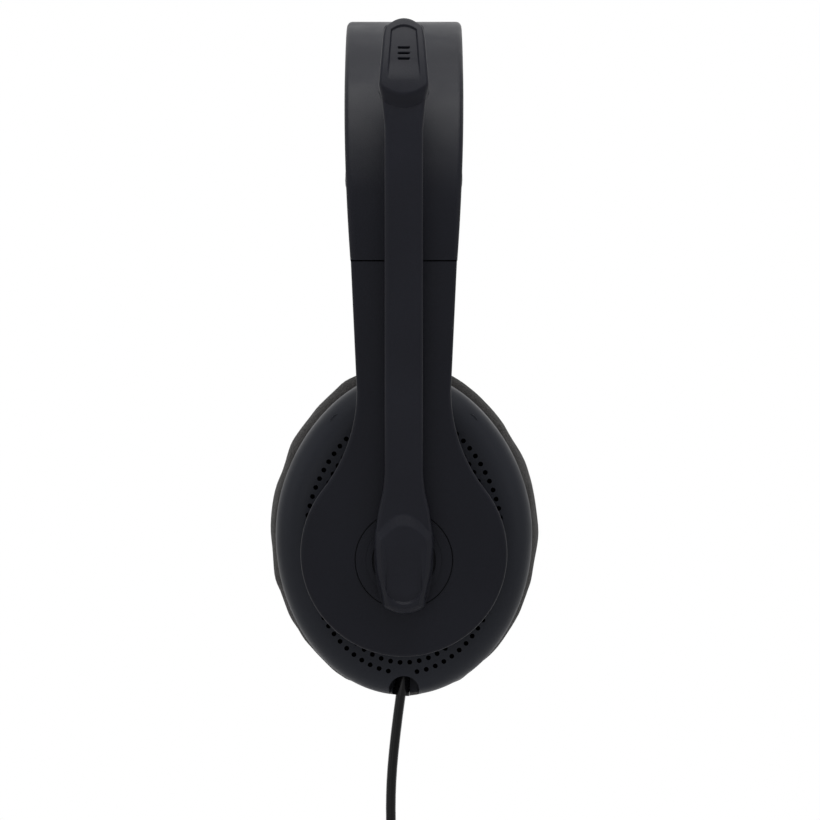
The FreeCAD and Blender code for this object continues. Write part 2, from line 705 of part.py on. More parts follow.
def hub_cap(top):
    """The shield-shaped raised face of the hub, bevelled all round so that the stalk runs up onto it."""
    pivot = -size("pivot_drop")
    lower = boom_side_edges(0)[:2] + boom_side_edges(0)[-1:]
    right, left = ends(lower[1])[1], ends(lower[2])[0]
    corner = Vector(right.x * 0.78, pivot + 9.2, 0)
    opposite = Vector(-corner.x, corner.y, 0)
    outline = lower[:2] + [Part.LineSegment(right, corner), Part.Arc(corner, Vector(0, pivot + 13.4, 0), opposite),
                           Part.LineSegment(opposite, left), lower[2]]
    body = new_body("hub_cap_body")
    face = new_sketch(body, "YZ_Plane", "hub_cap", "%.4f" % (top - 1))
    draw_chain(face, outline)
    raised = pad(body, face, "hub_rise + 1")
    doc.recompute()
    level = top + size("hub_rise")
    rim = ["Edge%d" % (i + 1) for i, edge in enumerate(raised.Shape.Edges)
           if all(abs(vertex.X - level) < 0.01 for vertex in edge.Vertexes)]
    bevel = body.newObject("PartDesign::Chamfer", "hub_cap_bevel")
    bevel.Base = (raised, rim)
    bind(bevel, Size="hub_bevel")
    return body


def hub_recess(top):
    """A shallow thumb recess in the hub: round below, deepest there, running out upwards."""
    half = size("hub_recess_width") / 2
    low = -size("pivot_drop") - size("hub_end") + 3
    wedge = new_body("hub_wedge_body")
    side = new_sketch(wedge, "XZ_Plane", "hub_wedge")
    draw_polygon(side, [(top - size("hub_recess"), low), (top + 1, low), (top + 1, low + 5 * half), (top, low + 5 * half)])
    pad(wedge, side, "2 * hub_width", both=True)
    tongue = new_body("hub_tongue_body")
    face = new_sketch(tongue, "YZ_Plane", "hub_tongue")
    corners = [Vector(-half, low + half, 0), Vector(0, low, 0), Vector(half, low + half, 0),
               Vector(half, low + 6 * half, 0), Vector(-half, low + 6 * half, 0)]
    draw_chain(face, [Part.Arc(*corners[:3]), Part.LineSegment(*corners[2:4]), Part.LineSegment(*corners[3:]),
                      Part.LineSegment(corners[4], corners[0])])
    pad(tongue, face, "2 * hub_width", both=True)
    both = doc.addObject("Part::Common", "hub_recess")
    both.Base, both.Tool = wedge, tongue
    return both


def capsule_recess(top, start, tip):
    """A sunken panel on the capsule: arched at its top and wider below."""
    waist, crown = boom_level("capsule_start_angle"), boom_level("capsule_tip_angle")
    layer = new_body("capsule_recess_layer_body")
    side = new_sketch(layer, "XZ_Plane", "capsule_recess_layer")
    draw_chain(side, boom_edges(top - size("capsule_recess"), top + 2, start, tip - 4))
    pad(layer, side, "2 * hub_width", both=True)
    wide, narrow = size("capsule_width") / 2 - 2.2, size("capsule_tip_width") / 2 - 2
    panel = new_body("capsule_recess_panel_body")
    face = new_sketch(panel, "YZ_Plane", "capsule_recess_panel")
    right = [Vector(wide, waist + 3.5, 0), Vector(narrow, crown - 3, 0)]
    left = [Vector(-corner.x, corner.y, 0) for corner in right]
    draw_chain(face, [Part.LineSegment(left[0], right[0]), Part.LineSegment(*right),
                      Part.Arc(right[1], Vector(0, crown - 1.7, 0), left[1]), Part.LineSegment(left[1], left[0])])
    pad(panel, face, "6 * hub_width", both=True)
    both = doc.addObject("Part::Common", "capsule_recess")
    both.Base, both.Tool = layer, panel
    return both


def make_turret():
    """The disc that turns in the spoon's recess, its shaft, clip and screw."""
    disc = new_body("turret_body")
    plate = new_sketch(disc, "YZ_Plane", "turret_plate", "slide_clearance - turret_sink")
    draw_circle(plate, "turret_radius", None, "-pivot_drop")
    pad(disc, plate, "turret_sink - slide_clearance + turret_rise")
    ring = new_sketch(disc, "YZ_Plane", "turret_ring", "turret_rise")
    draw_circle(ring, "ring_radius", None, "-pivot_drop")
    draw_circle(ring, "ring_radius - ring_wall", None, "-pivot_drop")
    pad(disc, ring, "ring_rise")
    shaft = new_sketch(disc, "YZ_Plane", "turret_shaft", "slide_clearance - turret_sink")
    draw_circle(shaft, "shaft_radius", None, "-pivot_drop")
    pad(disc, shaft, "arm_shell_depth - turret_sink + 2 * slide_clearance", reverse=True)
    screw_bore = new_sketch(disc, "YZ_Plane", "turret_screw_bore", "-arm_shell_depth - slide_clearance")
    draw_circle(screw_bore, "arm_screw_radius + pin_clearance", None, "-pivot_drop")
    pocket(disc, screw_bore, "arm_shell_depth", reverse=True)
    keep(disc, "boom_turret_disc", LEFT)
    clip_face = -size("arm_shell_depth") - size("slide_clearance")
    centre = Vector(clip_face - size("clip_thickness"), 0, -size("pivot_drop"))
    plate = rod("clip_plate", "clip_radius", "clip_thickness", centre)
    hole = rod("clip_hole", "arm_screw_radius + pin_clearance", "2 * clip_thickness", centre - Vector(0.3, 0, 0))
    keep(cut("clip", plate, [hole]), "boom_retaining_clip", LEFT)
    head = rod("pivot_screw_head", "2 * arm_screw_radius", "0.8", centre - Vector(0.8, 0, 0), LEFT)
    stem = rod("pivot_screw_stem", "arm_screw_radius", "clip_thickness + arm_shell_depth - 0.2", centre, LEFT)
    keep(fused("pivot_screw", [head, stem]), "boom_pivot_screw")


# ---- ear cups -------------------------------------------------------------------------------

cup_face = -size("arm_shell_depth") - size("arm_cover_depth") - size("cup_gap")
cup_rim = cup_face - size("cup_depth")
gimbal_x = cup_face - size("gimbal_depth")
gimbal_z = -size("pivot_drop")


def egg(growth):
    """The cup's outline, grown evenly: an ellipse whose upper half is a little more pointed."""
    half_width = size("cup_half_width") + growth
    half_height = size("cup_half_height") + growth
    points = []
    for i in range(24):
        turn = 2 * math.pi * i / 24
        pinch = 1 - 0.1 * max(0, math.sin(turn)) ** 2
        points.append(Vector(half_width * math.cos(turn) * pinch, half_height * math.sin(turn) - size("cup_drop"), 0))
    curve = Part.BSplineCurve()
    curve.interpolate(Points=points, PeriodicFlag=True)
    return curve


def egg_plate(body, name, x, thickness, growth, hole_growth=None):
    """An egg-shaped plate from x inwards towards the ear, with an egg-shaped window if asked."""
    sketch = new_sketch(body, "YZ_Plane", name, "%.4f" % x)
    sketch.addGeometry(egg(growth), False)
    if hole_growth is not None:
        sketch.addGeometry(egg(hole_growth), False)
    return sketch, pad(body, sketch, thickness, reverse=True)


def pierce_vents(shell, side):
    """Two rows of fine blind vents that follow the cup's outline on its outer face."""
    sketch = new_sketch(shell, "YZ_Plane", side + "_vents", "%.4f" % cup_face)
    pocket_centre = Vector(0, exit_height, 0)
    for row in (0, 1):
        curve = egg(-size("vent_inset") - row * size("vent_row_gap"))
        count = round(curve.length() / size("vent_pitch"))
        for i in range(count):
            spot = curve.value(curve.parameterAtDistance(curve.length() * (i + 0.5) / count))
            spot.y -= size("vent_drop")
            if side == "right" or spot.distanceToPoint(pocket_centre) > size("exit_pocket_radius") + 1.6:
                sketch.addGeometry(Part.Circle(spot, Vector(0, 0, 1), size("vent_radius")), False)
    pocket(shell, sketch, "vent_depth")


CUP_POSTS = [(y, z) for y in ("-cup_half_width / 2", "cup_half_width / 2")
             for z in ("-cup_drop - cup_half_height * 0.7", "-cup_drop + cup_half_height * 0.7")]


def make_gimbal(side):
    """The stud on the arm, the ring that swivels on it and the pins that carry the cup."""
    frame = SIDES[side]
    face = -size("arm_shell_depth") - size("arm_cover_depth")
    centre = Vector(face - size("flange_thickness"), 0, gimbal_z)
    flange = rod(side + "_flange", "flange_radius", "flange_thickness", centre)
    shaft_length = centre.x - gimbal_x
    shaft = rod(side + "_stud_shaft", "stud_radius", "%.4f" % shaft_length, Vector(gimbal_x, 0, gimbal_z))
    half = size("gimbal_thickness") / 2 - 0.3
    head = block(side + "_stud_head", "gimbal_thickness - 2 * slide_clearance", "stud_head_width", "stud_head_height",
                 Vector(gimbal_x - half, -size("stud_head_width") / 2, gimbal_z - size("stud_head_height") / 2))
    bore = rod(side + "_stud_bore", "pin_radius + pin_clearance", "2 * stud_head_height",
               Vector(gimbal_x, 0, gimbal_z - size("stud_head_height")), axis="z")
    keep(cut(side + "_stud", fused(side + "_stud_blank", [flange, shaft, head]), [bore]), side + "_swivel_stud", frame)

    ring = new_body(side + "_ring_body")
    outline = new_sketch(ring, "YZ_Plane", side + "_ring_outline", "%.4f" % gimbal_x)
    draw_box(outline, "0", "-pivot_drop", "gimbal_window + 2 * gimbal_bar", "gimbal_window_height + 2 * gimbal_bar")
    draw_box(outline, "0", "-pivot_drop", "gimbal_window", "gimbal_window_height")
    pad(ring, outline, "gimbal_thickness", both=True)
    tall = new_sketch(ring, "XY_Plane", side + "_ring_pin_bore")
    draw_circle(tall, "pin_radius + 0.02", "%.4f" % gimbal_x, None)
    pocket(ring, tall, both=True)
    wide = new_sketch(ring, "XZ_Plane", side + "_ring_trunnion_bore")
    draw_circle(wide, "pin_radius + 0.02", "%.4f" % gimbal_x, "-pivot_drop")
    pocket(ring, wide, both=True)
    keep(ring, side + "_gimbal_ring", frame)
    half_height = size("gimbal_window_height") / 2 + size("gimbal_bar")
    pins = [rod(side + "_swivel_pin", "pin_radius", "gimbal_window_height + 2 * gimbal_bar",
                Vector(gimbal_x, 0, gimbal_z - half_height), frame, axis="z")]
    inside = size("gimbal_window") / 2 + 0.3
    length = "gimbal_bar + lug_thickness + slide_clearance"
    pins.append(rod(side + "_trunnion_back", "pin_radius", length, Vector(gimbal_x, inside, gimbal_z), frame, axis="y"))
    far = -inside - size("gimbal_bar") - size("lug_thickness") - size("slide_clearance")
    pins.append(rod(side + "_trunnion_front", "pin_radius", length, Vector(gimbal_x, far, gimbal_z), frame, axis="y"))
    keep(group(side + "_pins", pins), side + "_gimbal_pins")


def make_cup(side):
    frame = SIDES[side]
    shell = new_body(side + "_cup_shell_body")
    egg_plate(shell, side + "_cup_outline", cup_face, "cup_depth", 0)
    rounded = round_edges(shell, lambda middle, edge: abs(middle.x - cup_face) < 0.01, "cup_edge_radius")
    doc.recompute()
    rim = next("Face%d" % (i + 1) for i, face in enumerate(shell.Shape.Faces)
               if abs(face.CenterOfMass.x - cup_rim) < 0.01)
    wall = shell.newObject("PartDesign::Thickness", side + "_cup_wall")
    wall.Base = (rounded, [rim])
    bind(wall, Value="cup_wall")
    wall.Reversed = True
    inner_face = "%.4f" % (cup_face - size("cup_wall"))
    posts = new_sketch(shell, "YZ_Plane", side + "_cup_posts", inner_face)
    for y, z in CUP_POSTS:
        draw_circle(posts, "2.2 * cup_screw_radius", y, z)
    pad(shell, posts, "cup_depth - cup_wall - baffle_thickness", reverse=True)
    lugs = new_sketch(shell, "YZ_Plane", side + "_cup_lugs", inner_face)
    middle = "gimbal_window / 2 + gimbal_bar + slide_clearance + lug_thickness / 2"
    for way in ("-(%s)", "%s"):
        draw_box(lugs, way % middle, "-pivot_drop", "lug_thickness", "6 * pin_radius")
    pad(shell, lugs, "gimbal_depth - cup_wall + 2 * pin_radius", reverse=True)
    pins = new_sketch(shell, "XZ_Plane", side + "_lug_bores")
    draw_circle(pins, "pin_radius + pin_clearance", "%.4f" % gimbal_x, "-pivot_drop")
    bore = pocket(shell, pins, "2 * gimbal_window + 4 * lug_thickness", both=True)
    opening = new_sketch(shell, "YZ_Plane", side + "_stud_opening", "%.4f" % cup_face)
    draw_circle(opening, "stud_bore", None, "-pivot_drop")
    pocket(shell, opening, "2 * cup_wall")
    screw_bores = new_sketch(shell, "YZ_Plane", side + "_post_bores", "%.4f" % (cup_rim + size("baffle_thickness")))
    for y, z in CUP_POSTS:
        draw_circle(screw_bores, "cup_screw_radius + pin_clearance", y, z)
    pocket(shell, screw_bores, "5 * cup_screw_radius", reverse=True)
    pierce_vents(shell, side)
    finished = shell
    if side == "left":
        finished = add_cord_exit(shell)
    keep(finished, side + "_cup_shell", frame)

    baffle = new_body(side + "_baffle_body")
    sketch, _ = egg_plate(baffle, side + "_baffle_outline", cup_rim + size("baffle_thickness"), "baffle_thickness",
                          -size("cup_wall") - size("slide_clearance"))
    draw_circle(sketch, "driver_window_radius", None, "-cup_drop")
    for y, z in CUP_POSTS:
        draw_circle(sketch, "cup_screw_radius + pin_clearance", y, z)
    keep(baffle, side + "_baffle", frame)
    screws = []
    for y in (-0.5, 0.5):
        for z in (-0.7, 0.7):
            start = Vector(cup_rim + 0.3, y * size("cup_half_width"), -size("cup_drop") + z * size("cup_half_height"))
            screws.append(rod("%s_cup_screw_%d" % (side, len(screws)), "cup_screw_radius",
                              "baffle_thickness + 4 * cup_screw_radius", start, frame))
    keep(group(side + "_cup_screw_set", screws), side + "_cup_screws")

    back = cup_rim + size("baffle_thickness")
    centre = Vector(back, 0, -size("cup_drop"))
    basket = rod(side + "_basket", "driver_radius", "driver_depth", centre)
    mouth = rod(side + "_basket_mouth", "driver_radius - 1.2", "driver_depth / 2", centre - Vector(0.01, 0, 0))
    keep(cut(side + "_driver_basket", basket, [mouth]), side + "_driver_frame", frame)
    keep(rod(side + "_cone", "driver_radius - 1.5", "diaphragm_thickness", centre + Vector(0.3, 0, 0), frame),
         side + "_driver_diaphragm")
    keep(rod(side + "_magnet", "magnet_radius", "magnet_depth", centre + Vector(size("driver_depth"), 0, 0), frame),
         side + "_driver_magnet")

    plate = new_body(side + "_cushion_plate_body")
    cushion_inner = size("cushion_overhang") - size("cushion_wall")
    egg_plate(plate, side + "_cushion_plate_outline", cup_rim, "cushion_plate_thickness", -0.6, cushion_inner)
    keep(plate, side + "_cushion_plate", frame)
    cushion = new_body(side + "_cushion_body")
    cushion_back = cup_rim - size("cushion_plate_thickness") - size("soft_gap")
    egg_plate(cushion, side + "_cushion_outline", cushion_back, "cushion_depth", size("cushion_overhang"), cushion_inner)
    round_edges(cushion, lambda middle, edge: abs(middle.y) > 1 or abs(middle.z + size("cup_drop")) > 1,
                "cushion_edge_radius")
    keep(cushion, side + "_ear_cushion", frame)
    cloth = new_body(side + "_cloth_body")
    egg_plate(cloth, side + "_cloth_outline", cushion_back, "ear_cloth_thickness", cushion_inner - 0.6)
    keep(cloth, side + "_ear_cloth", frame)


def add_cord_exit(shell):
    """Thicken the cup's lower wall round the cord's exit and cut its round pocket."""
    centre = Vector(cup_face - size("exit_depth") - size("exit_pocket_radius") - 1.5, 0, exit_height)
    blank = new_body("exit_blank_body")
    skin = size("cup_wall") / 2
    egg_plate(blank, "exit_blank_outline", cup_face - skin, "cup_depth - cup_wall / 2", -skin)
    round_edges(blank, lambda middle, edge: abs(middle.x - cup_face + skin) < 0.01, "cup_edge_radius - cup_wall / 2")
    wall = rod("exit_wall", "exit_pocket_radius + cup_wall", "cup_depth", centre)
    lining = doc.addObject("Part::Common", "exit_lining")
    lining.Base, lining.Tool = blank, wall
    void = rod("exit_pocket", "exit_pocket_radius", "cup_depth", centre + Vector(size("cup_wall"), 0, 0))
    root = rod("exit_bore", "relief_root_radius + pin_clearance", "3 * cup_wall", Vector(0, 0, -1.2), exit_frame, axis="z")
    return cut("cup_shell_with_exit", fused("cup_shell_lined", [shell, lining]), [void, root])


exit_height = -size("cup_drop") - size("cup_half_height") + size("exit_pocket_rise")
exit_x = cup_face - size("exit_depth")
exit_frame = Placement(Vector(exit_x, 0, exit_height + size("exit_pocket_radius")),
                       Rotation(Vector(1, 0, 0), -size("relief_lean")))


def turned(name, corners):
    """A solid turned about its own z axis from a profile of (radius, height) corners."""
    body = new_body(name + "_body")
    sketch = new_sketch(body, "XZ_Plane", name + "_profile")
    draw_polygon(sketch, corners)
    turn = body.newObject("PartDesign::Revolution", name + "_turned")
    turn.Profile = sketch
    turn.ReferenceAxis = (sketch, ["V_Axis"])
    turn.Angle = 360
    return body


def make_cord_exit():
    """The flared strain relief, its collar inside the shell, and the small circuit board."""
    flare_start, collar_seat = -0.7, size("cup_wall") + 0.3
    foot = flare_start - size("relief_length")
    root, collar = size("relief_root_radius"), size("relief_root_radius") + 1.6
    relief = turned("relief", [(0, foot), (size("relief_end_radius"), foot), (root, flare_start), (root, collar_seat),
                               (collar, collar_seat), (collar, collar_seat + 1), (0, collar_seat + 1)])
    keep(relief, "left_strain_relief", LEFT.multiply(exit_frame))
    board = new_body("board_body")
    sketch = new_sketch(board, "YZ_Plane", "board_outline", "%.4f" % (cup_face - size("cup_wall") - 0.3))
    draw_box(sketch, "0", "-pivot_drop - 20", "26", "12")
    pad(board, sketch, "board_thickness", reverse=True)
    keep(board, "left_circuit_board", LEFT)
    return LEFT.multiply(exit_frame).multiply(Placement(Vector(0, 0, foot), Rotation()))


# ---- cord, coil, tie and plug ---------------------------------------------------------------

def cord_path(points):
    """Straight runs joined by tangent arcs, each as large as its two runs allow."""
    edges = []
    radii = []
    start = points[0]
    for before, corner, after in zip(points, points[1:], points[2:]):
        back = (before - corner).normalize()
        onward = (after - corner).normalize()
        half_turn = (math.pi - back.getAngle(onward)) / 2
        setback = 0.45 * min(before.distanceToPoint(corner), after.distanceToPoint(corner))
        radius = setback / math.tan(half_turn)
        inward = (back + onward).normalize()
        middle = corner + inward * (radius / math.cos(half_turn) - radius)
        entry, leave = corner + back * setback, corner + onward * setback
        edges.append(Part.LineSegment(start, entry).toShape())
        edges.append(Part.Arc(entry, middle, leave).toShape())
        start = leave
        radii.append(radius)
    edges.append(Part.LineSegment(start, points[-1]).toShape())
    return Part.Wire(edges), radii


def make_tube(name, points):
    path, radii = cord_path(points)
    radius = size("cord_radius")
    circle = Part.Circle(points[0], points[1] - points[0], radius)
    tube = path.makePipeShell([Part.Wire([circle.toShape()])], True, False)
    ideal = math.pi * radius ** 2 * path.Length
    print("%s: length %.1f, volume over section x length %.4f, smallest bend radius %.1f" % (
        name, path.Length, tube.Volume / ideal, min(radii)))
    thing = doc.addObject("Part::Feature", name + "_sweep")
    thing.Shape = tube
    keep(thing, name)
    return path.Length


def make_cord(exit_frame):
    start = exit_frame.Base
    onward = exit_frame.Rotation.multVec(Vector(0, 0, -1))
    coil_centre = Vector(start.x - 0.4, start.y + 1 + size("coil_radius") - 4, start.z - 72)
    entry = coil_centre + Vector(0, -size("coil_radius"), 0)
    route = [start, start + onward * 13, start + Vector(-1, -3, -28.5), start + Vector(-0.5, -2.6, -44),
             entry + Vector(0, -0.3, 14.5)]
    tail = [entry + Vector(0, 0.3, -14.5), entry + Vector(0.5, 1.4, -25), entry + Vector(-0.2, -0.3, -38),
            entry + Vector(0, -1.2, -52), entry + Vector(0, -1.2, -63)]
    length = make_tube("cord_tube", route) + make_tube("cord_tail", tail)
    print("coil turns for a 2 m cord: %.1f" % ((2000 - length) / (2 * math.pi * size("coil_radius"))))
    coil = doc.addObject("Part::Torus", "coil")
    bind(coil, Radius1="coil_radius", Radius2="coil_section_radius")
    keep(coil, "cord_coil", Placement(coil_centre, Rotation(Vector(0, 1, 0), 90)))
    sag = size("tie_width") ** 2 / (8 * size("coil_radius"))
    low = coil_centre + Vector(0, -size("tie_width") / 2, -size("coil_radius"))
    inner = size("coil_section_radius") + 0.3 + sag
    outside = rod("tie_outside", "%.3f + tie_wall" % inner, "tie_width", low, axis="y")
    inside = rod("tie_inside", "%.3f" % inner, "tie_width + 2", low - Vector(0, 1, 0), axis="y")
    keep(cut("tie", outside, [inside]), "cord_tie")
    make_plug(tail[-1])


def make_plug(point):
    """The moulded plug and its four-pole contact, pointing down."""
    long, wide, neck = size("plug_length"), size("plug_radius"), size("cord_radius") + 0.7
    body = turned("plug", [(0, 0), (neck, 0), (neck + 0.5, -long * 0.35), (wide, -long * 0.5), (wide, -long), (0, -long)])
    socket = new_sketch(body, "XY_Plane", "plug_socket", "-plug_length")
    draw_circle(socket, "0.7 * plug_tip_radius + 0.02")
    pocket(body, socket, "plug_length / 3", reverse=True)
    keep(body, "plug_body", Placement(point, Rotation()))
    radius, sleeve = size("plug_tip_radius"), size("plug_sleeve_length")
    top, end = -long * 0.7, -long - sleeve
    contact = turned("contact", [(0, top), (radius * 0.7, top), (radius * 0.7, -long), (radius, -long), (radius, end),
                                 (radius * 0.66, end - 0.9), (radius * 0.96, end - 1.7), (radius * 0.96, end - 2.2),
                                 (radius * 0.4, end - 3.5), (0, end - 3.5)])
    keep(contact, "plug_contact", Placement(point, Rotation()))


# ---- the whole headset ----------------------------------------------------------------------

make_headband()
for side in SIDES:
    make_rail(side)
    make_arm(side)
    make_gimbal(side)
    make_cup(side)
make_turret()
make_boom()
keep(rod("blank_disc", "turret_radius", "turret_sink - slide_clearance + turret_rise",
         Vector(size("slide_clearance") - size("turret_sink"), 0, -size("pivot_drop")), RIGHT), "right_blank_disc")
make_cord(make_cord_exit())
doc.recompute()

for thing in doc.Objects:
    if "Invalid" in thing.State or "Error" in thing.State:
        raise RuntimeError("%s did not build: %s" % (thing.Label, thing.State))
os.makedirs("parts", exist_ok=True)
for part in parts:
    if part.Shape.isNull() or not part.Shape.isValid():
        raise RuntimeError("%s has no valid shape" % part.Label)
    part.Shape.exportStep("parts/%s.step" % part.Label)
print("%d sub-parts" % len(parts))
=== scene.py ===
import bpy
import json
import math
import numpy as np
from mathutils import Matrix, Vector


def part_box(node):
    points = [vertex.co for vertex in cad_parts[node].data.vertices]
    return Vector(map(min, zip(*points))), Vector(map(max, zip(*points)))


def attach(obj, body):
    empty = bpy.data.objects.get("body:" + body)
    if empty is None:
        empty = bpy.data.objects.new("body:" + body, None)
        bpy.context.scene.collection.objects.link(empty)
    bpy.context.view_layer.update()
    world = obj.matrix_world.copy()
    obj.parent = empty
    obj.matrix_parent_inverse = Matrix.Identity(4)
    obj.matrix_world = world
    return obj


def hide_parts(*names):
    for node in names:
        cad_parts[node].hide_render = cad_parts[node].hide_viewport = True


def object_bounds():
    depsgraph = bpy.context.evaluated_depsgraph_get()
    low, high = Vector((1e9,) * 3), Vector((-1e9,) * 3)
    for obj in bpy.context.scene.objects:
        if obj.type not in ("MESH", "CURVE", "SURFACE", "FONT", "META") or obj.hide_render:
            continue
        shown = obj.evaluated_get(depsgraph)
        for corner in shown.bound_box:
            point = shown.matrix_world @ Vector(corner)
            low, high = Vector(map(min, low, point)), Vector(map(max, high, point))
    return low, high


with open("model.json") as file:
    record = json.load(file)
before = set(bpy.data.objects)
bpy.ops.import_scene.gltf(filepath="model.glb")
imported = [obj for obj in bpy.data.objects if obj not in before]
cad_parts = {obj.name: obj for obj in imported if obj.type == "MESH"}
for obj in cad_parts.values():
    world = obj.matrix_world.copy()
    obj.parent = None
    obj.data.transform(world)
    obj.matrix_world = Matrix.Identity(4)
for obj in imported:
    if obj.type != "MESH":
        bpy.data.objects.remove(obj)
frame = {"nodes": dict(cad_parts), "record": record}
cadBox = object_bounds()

nodes = frame["nodes"]
scene = bpy.context.scene
scene.view_settings.view_transform = "Standard"


# camera, lamps and surroundings

studio = {
    "lens": 181.8,               # mm on a 36 mm wide sensor
    "distance": 1.23,            # from the headset's middle plane
    "height": -0.0989,
    "aside": 0.0017,
    "floorDrop": 0.004,          # floor under the lowest point
    "floorReach": 3.0,
    "fadeStart": 0.45,
    "fadeEnd": 1.0,
    "worldLight": 0.3,
    "topPower": 26.0,
    "topSize": 1.3,
    "frontPower": 3.0,
    "rimPower": 2.4,
}


def addCamera():
    camera = bpy.data.objects.new("camera", bpy.data.cameras.new("camera"))
    scene.collection.objects.link(camera)
    camera.data.lens = studio["lens"]
    camera.data.sensor_width = 36.0
    camera.data.clip_start = 0.05
    camera.location = (studio["distance"], studio["aside"], studio["height"])
    camera.rotation_euler = (math.pi / 2, 0.0, math.pi / 2)
    scene.camera = camera


def addLamp(name, place, aim, power, width, height):
    lamp = bpy.data.lights.new(name, "AREA")
    lamp.shape = "RECTANGLE"
    lamp.size = width
    lamp.size_y = height
    lamp.energy = power
    thing = bpy.data.objects.new(name, lamp)
    scene.collection.objects.link(thing)
    thing.location = place
    thing.rotation_euler = (Vector(aim) - Vector(place)).to_track_quat("-Z", "Y").to_euler()


def whiteToTheEye(tree, ownSurface, how="world", fade=None):
    # what the camera, a mirror and clear glass see is plain white, and all other light meets the own surface
    path = tree.nodes.new("ShaderNodeLightPath")
    seen = path.outputs["Is Camera Ray"]
    for ray in ("Is Glossy Ray", "Is Transmission Ray"):
        either = tree.nodes.new("ShaderNodeMath")
        either.operation = "MAXIMUM"
        tree.links.new(seen, either.inputs[0])
        tree.links.new(path.outputs[ray], either.inputs[1])
        seen = either.outputs[0]
    white = tree.nodes.new("ShaderNodeBackground" if how == "world" else "ShaderNodeEmission")
    white.inputs["Color"].default_value = (1.0, 1.0, 1.0, 1.0)
    mix = tree.nodes.new("ShaderNodeMixShader")
    if fade is not None:
        part = tree.nodes.new("ShaderNodeMath")
        part.operation = "MULTIPLY"
        tree.links.new(seen, part.inputs[0])
        tree.links.new(fade, part.inputs[1])
        seen = part.outputs[0]
    tree.links.new(seen, mix.inputs[0])
    tree.links.new(ownSurface, mix.inputs[1])
    tree.links.new(white.outputs[0], mix.inputs[2])
    return mix.outputs[0]


def addWorld():
    world = bpy.data.worlds.new("studioWorld")
    scene.world = world
    world.use_nodes = True
    tree = world.node_tree
    tree.nodes.clear()
    out = tree.nodes.new("ShaderNodeOutputWorld")
    light = tree.nodes.new("ShaderNodeBackground")
    light.inputs["Color"].default_value = (1.0, 1.0, 1.0, 1.0)
    light.inputs["Strength"].default_value = studio["worldLight"]
    tree.links.new(whiteToTheEye(tree, light.outputs[0]), out.inputs[0])


def addFloor():
    # pale near the headset, where its shadow falls, and fading into the white surroundings further out
    low = cadBox[0][2] - studio["floorDrop"]
    reach = studio["floorReach"]
    corners = [(-reach, -reach, low), (reach, -reach, low), (reach, reach, low), (-reach, reach, low)]
    mesh = bpy.data.meshes.new("floor")
    mesh.from_pydata(corners, [], [(0, 1, 2, 3)])
    floor = bpy.data.objects.new("floor", mesh)
    scene.collection.objects.link(floor)
    material = bpy.data.materials.new("paleFloor")
    material.use_nodes = True
    tree = material.node_tree
    shader = tree.nodes["Principled BSDF"]
    shader.inputs["Base Color"].default_value = (0.9, 0.9, 0.9, 1.0)
    shader.inputs["Roughness"].default_value = 0.9
    place = tree.nodes.new("ShaderNodeTexCoord")
    away = tree.nodes.new("ShaderNodeVectorMath")
    away.operation = "LENGTH"
    tree.links.new(place.outputs["Object"], away.inputs[0])
    fade = tree.nodes.new("ShaderNodeMapRange")
    fade.inputs["From Min"].default_value = studio["fadeStart"]
    fade.inputs["From Max"].default_value = studio["fadeEnd"]
    tree.links.new(away.outputs["Value"], fade.inputs["Value"])
    out = tree.nodes["Material Output"]
    tree.links.new(whiteToTheEye(tree, shader.outputs[0], "floor", fade.outputs["Result"]), out.inputs[0])
    mesh.materials.append(material)


# finishes

plasticShine = 0.09
# painted shade: near black for the vent holes and the groove between band and arm
paintedShadeColour = (0.0004, 0.0004, 0.0005, 1.0)
leanSine, leanCosine = 0.05234, 0.99863       # arms and cups lean 3 degrees


def newMaterial(name, colour, roughness):
    material = bpy.data.materials.new(name)
    material.use_nodes = True
    shader = material.node_tree.nodes["Principled BSDF"]
    shader.inputs["Base Color"].default_value = (*colour, 1.0)
    shader.inputs["Roughness"].default_value = roughness
    return material, material.node_tree, shader


def objectPlace(tree, stretch=(1.0, 1.0, 1.0), shift=(0.0, 0.0, 0.0)):
    # object coordinates, stretched where the grain has a direction
    place = tree.nodes.new("ShaderNodeTexCoord")
    mapping = tree.nodes.new("ShaderNodeMapping")
    mapping.inputs["Scale"].default_value = stretch
    mapping.inputs["Location"].default_value = shift
    tree.links.new(place.outputs["Object"], mapping.inputs["Vector"])
    return mapping.outputs["Vector"]


def noise(tree, place, scale, detail=2.0, roughness=0.5):
    texture = tree.nodes.new("ShaderNodeTexNoise")
    texture.inputs["Scale"].default_value = scale
    texture.inputs["Detail"].default_value = detail
    texture.inputs["Roughness"].default_value = roughness
    tree.links.new(place, texture.inputs["Vector"])
    return texture.outputs["Fac"]


def spread(tree, value, fromLow, fromHigh, toLow, toHigh):
    mapped = tree.nodes.new("ShaderNodeMapRange")
    limits = {"From Min": fromLow, "From Max": fromHigh, "To Min": toLow, "To Max": toHigh}
    for socket, number in limits.items():
        mapped.inputs[socket].default_value = number
    tree.links.new(value, mapped.inputs["Value"])
    return mapped.outputs["Result"]


def blendColours(tree, factor, first, second):
    mix = tree.nodes.new("ShaderNodeMix")
    mix.data_type = "RGBA"
    mix.inputs["A"].default_value = (*first, 1.0)
    mix.inputs["B"].default_value = (*second, 1.0)
    tree.links.new(factor, mix.inputs["Factor"])
    return mix.outputs["Result"]


def addBump(tree, shader, height, strength, depth):
    bump = tree.nodes.new("ShaderNodeBump")
    bump.inputs["Strength"].default_value = strength
    bump.inputs["Distance"].default_value = depth
    tree.links.new(height, bump.inputs["Height"])
    tree.links.new(bump.outputs["Normal"], shader.inputs["Normal"])


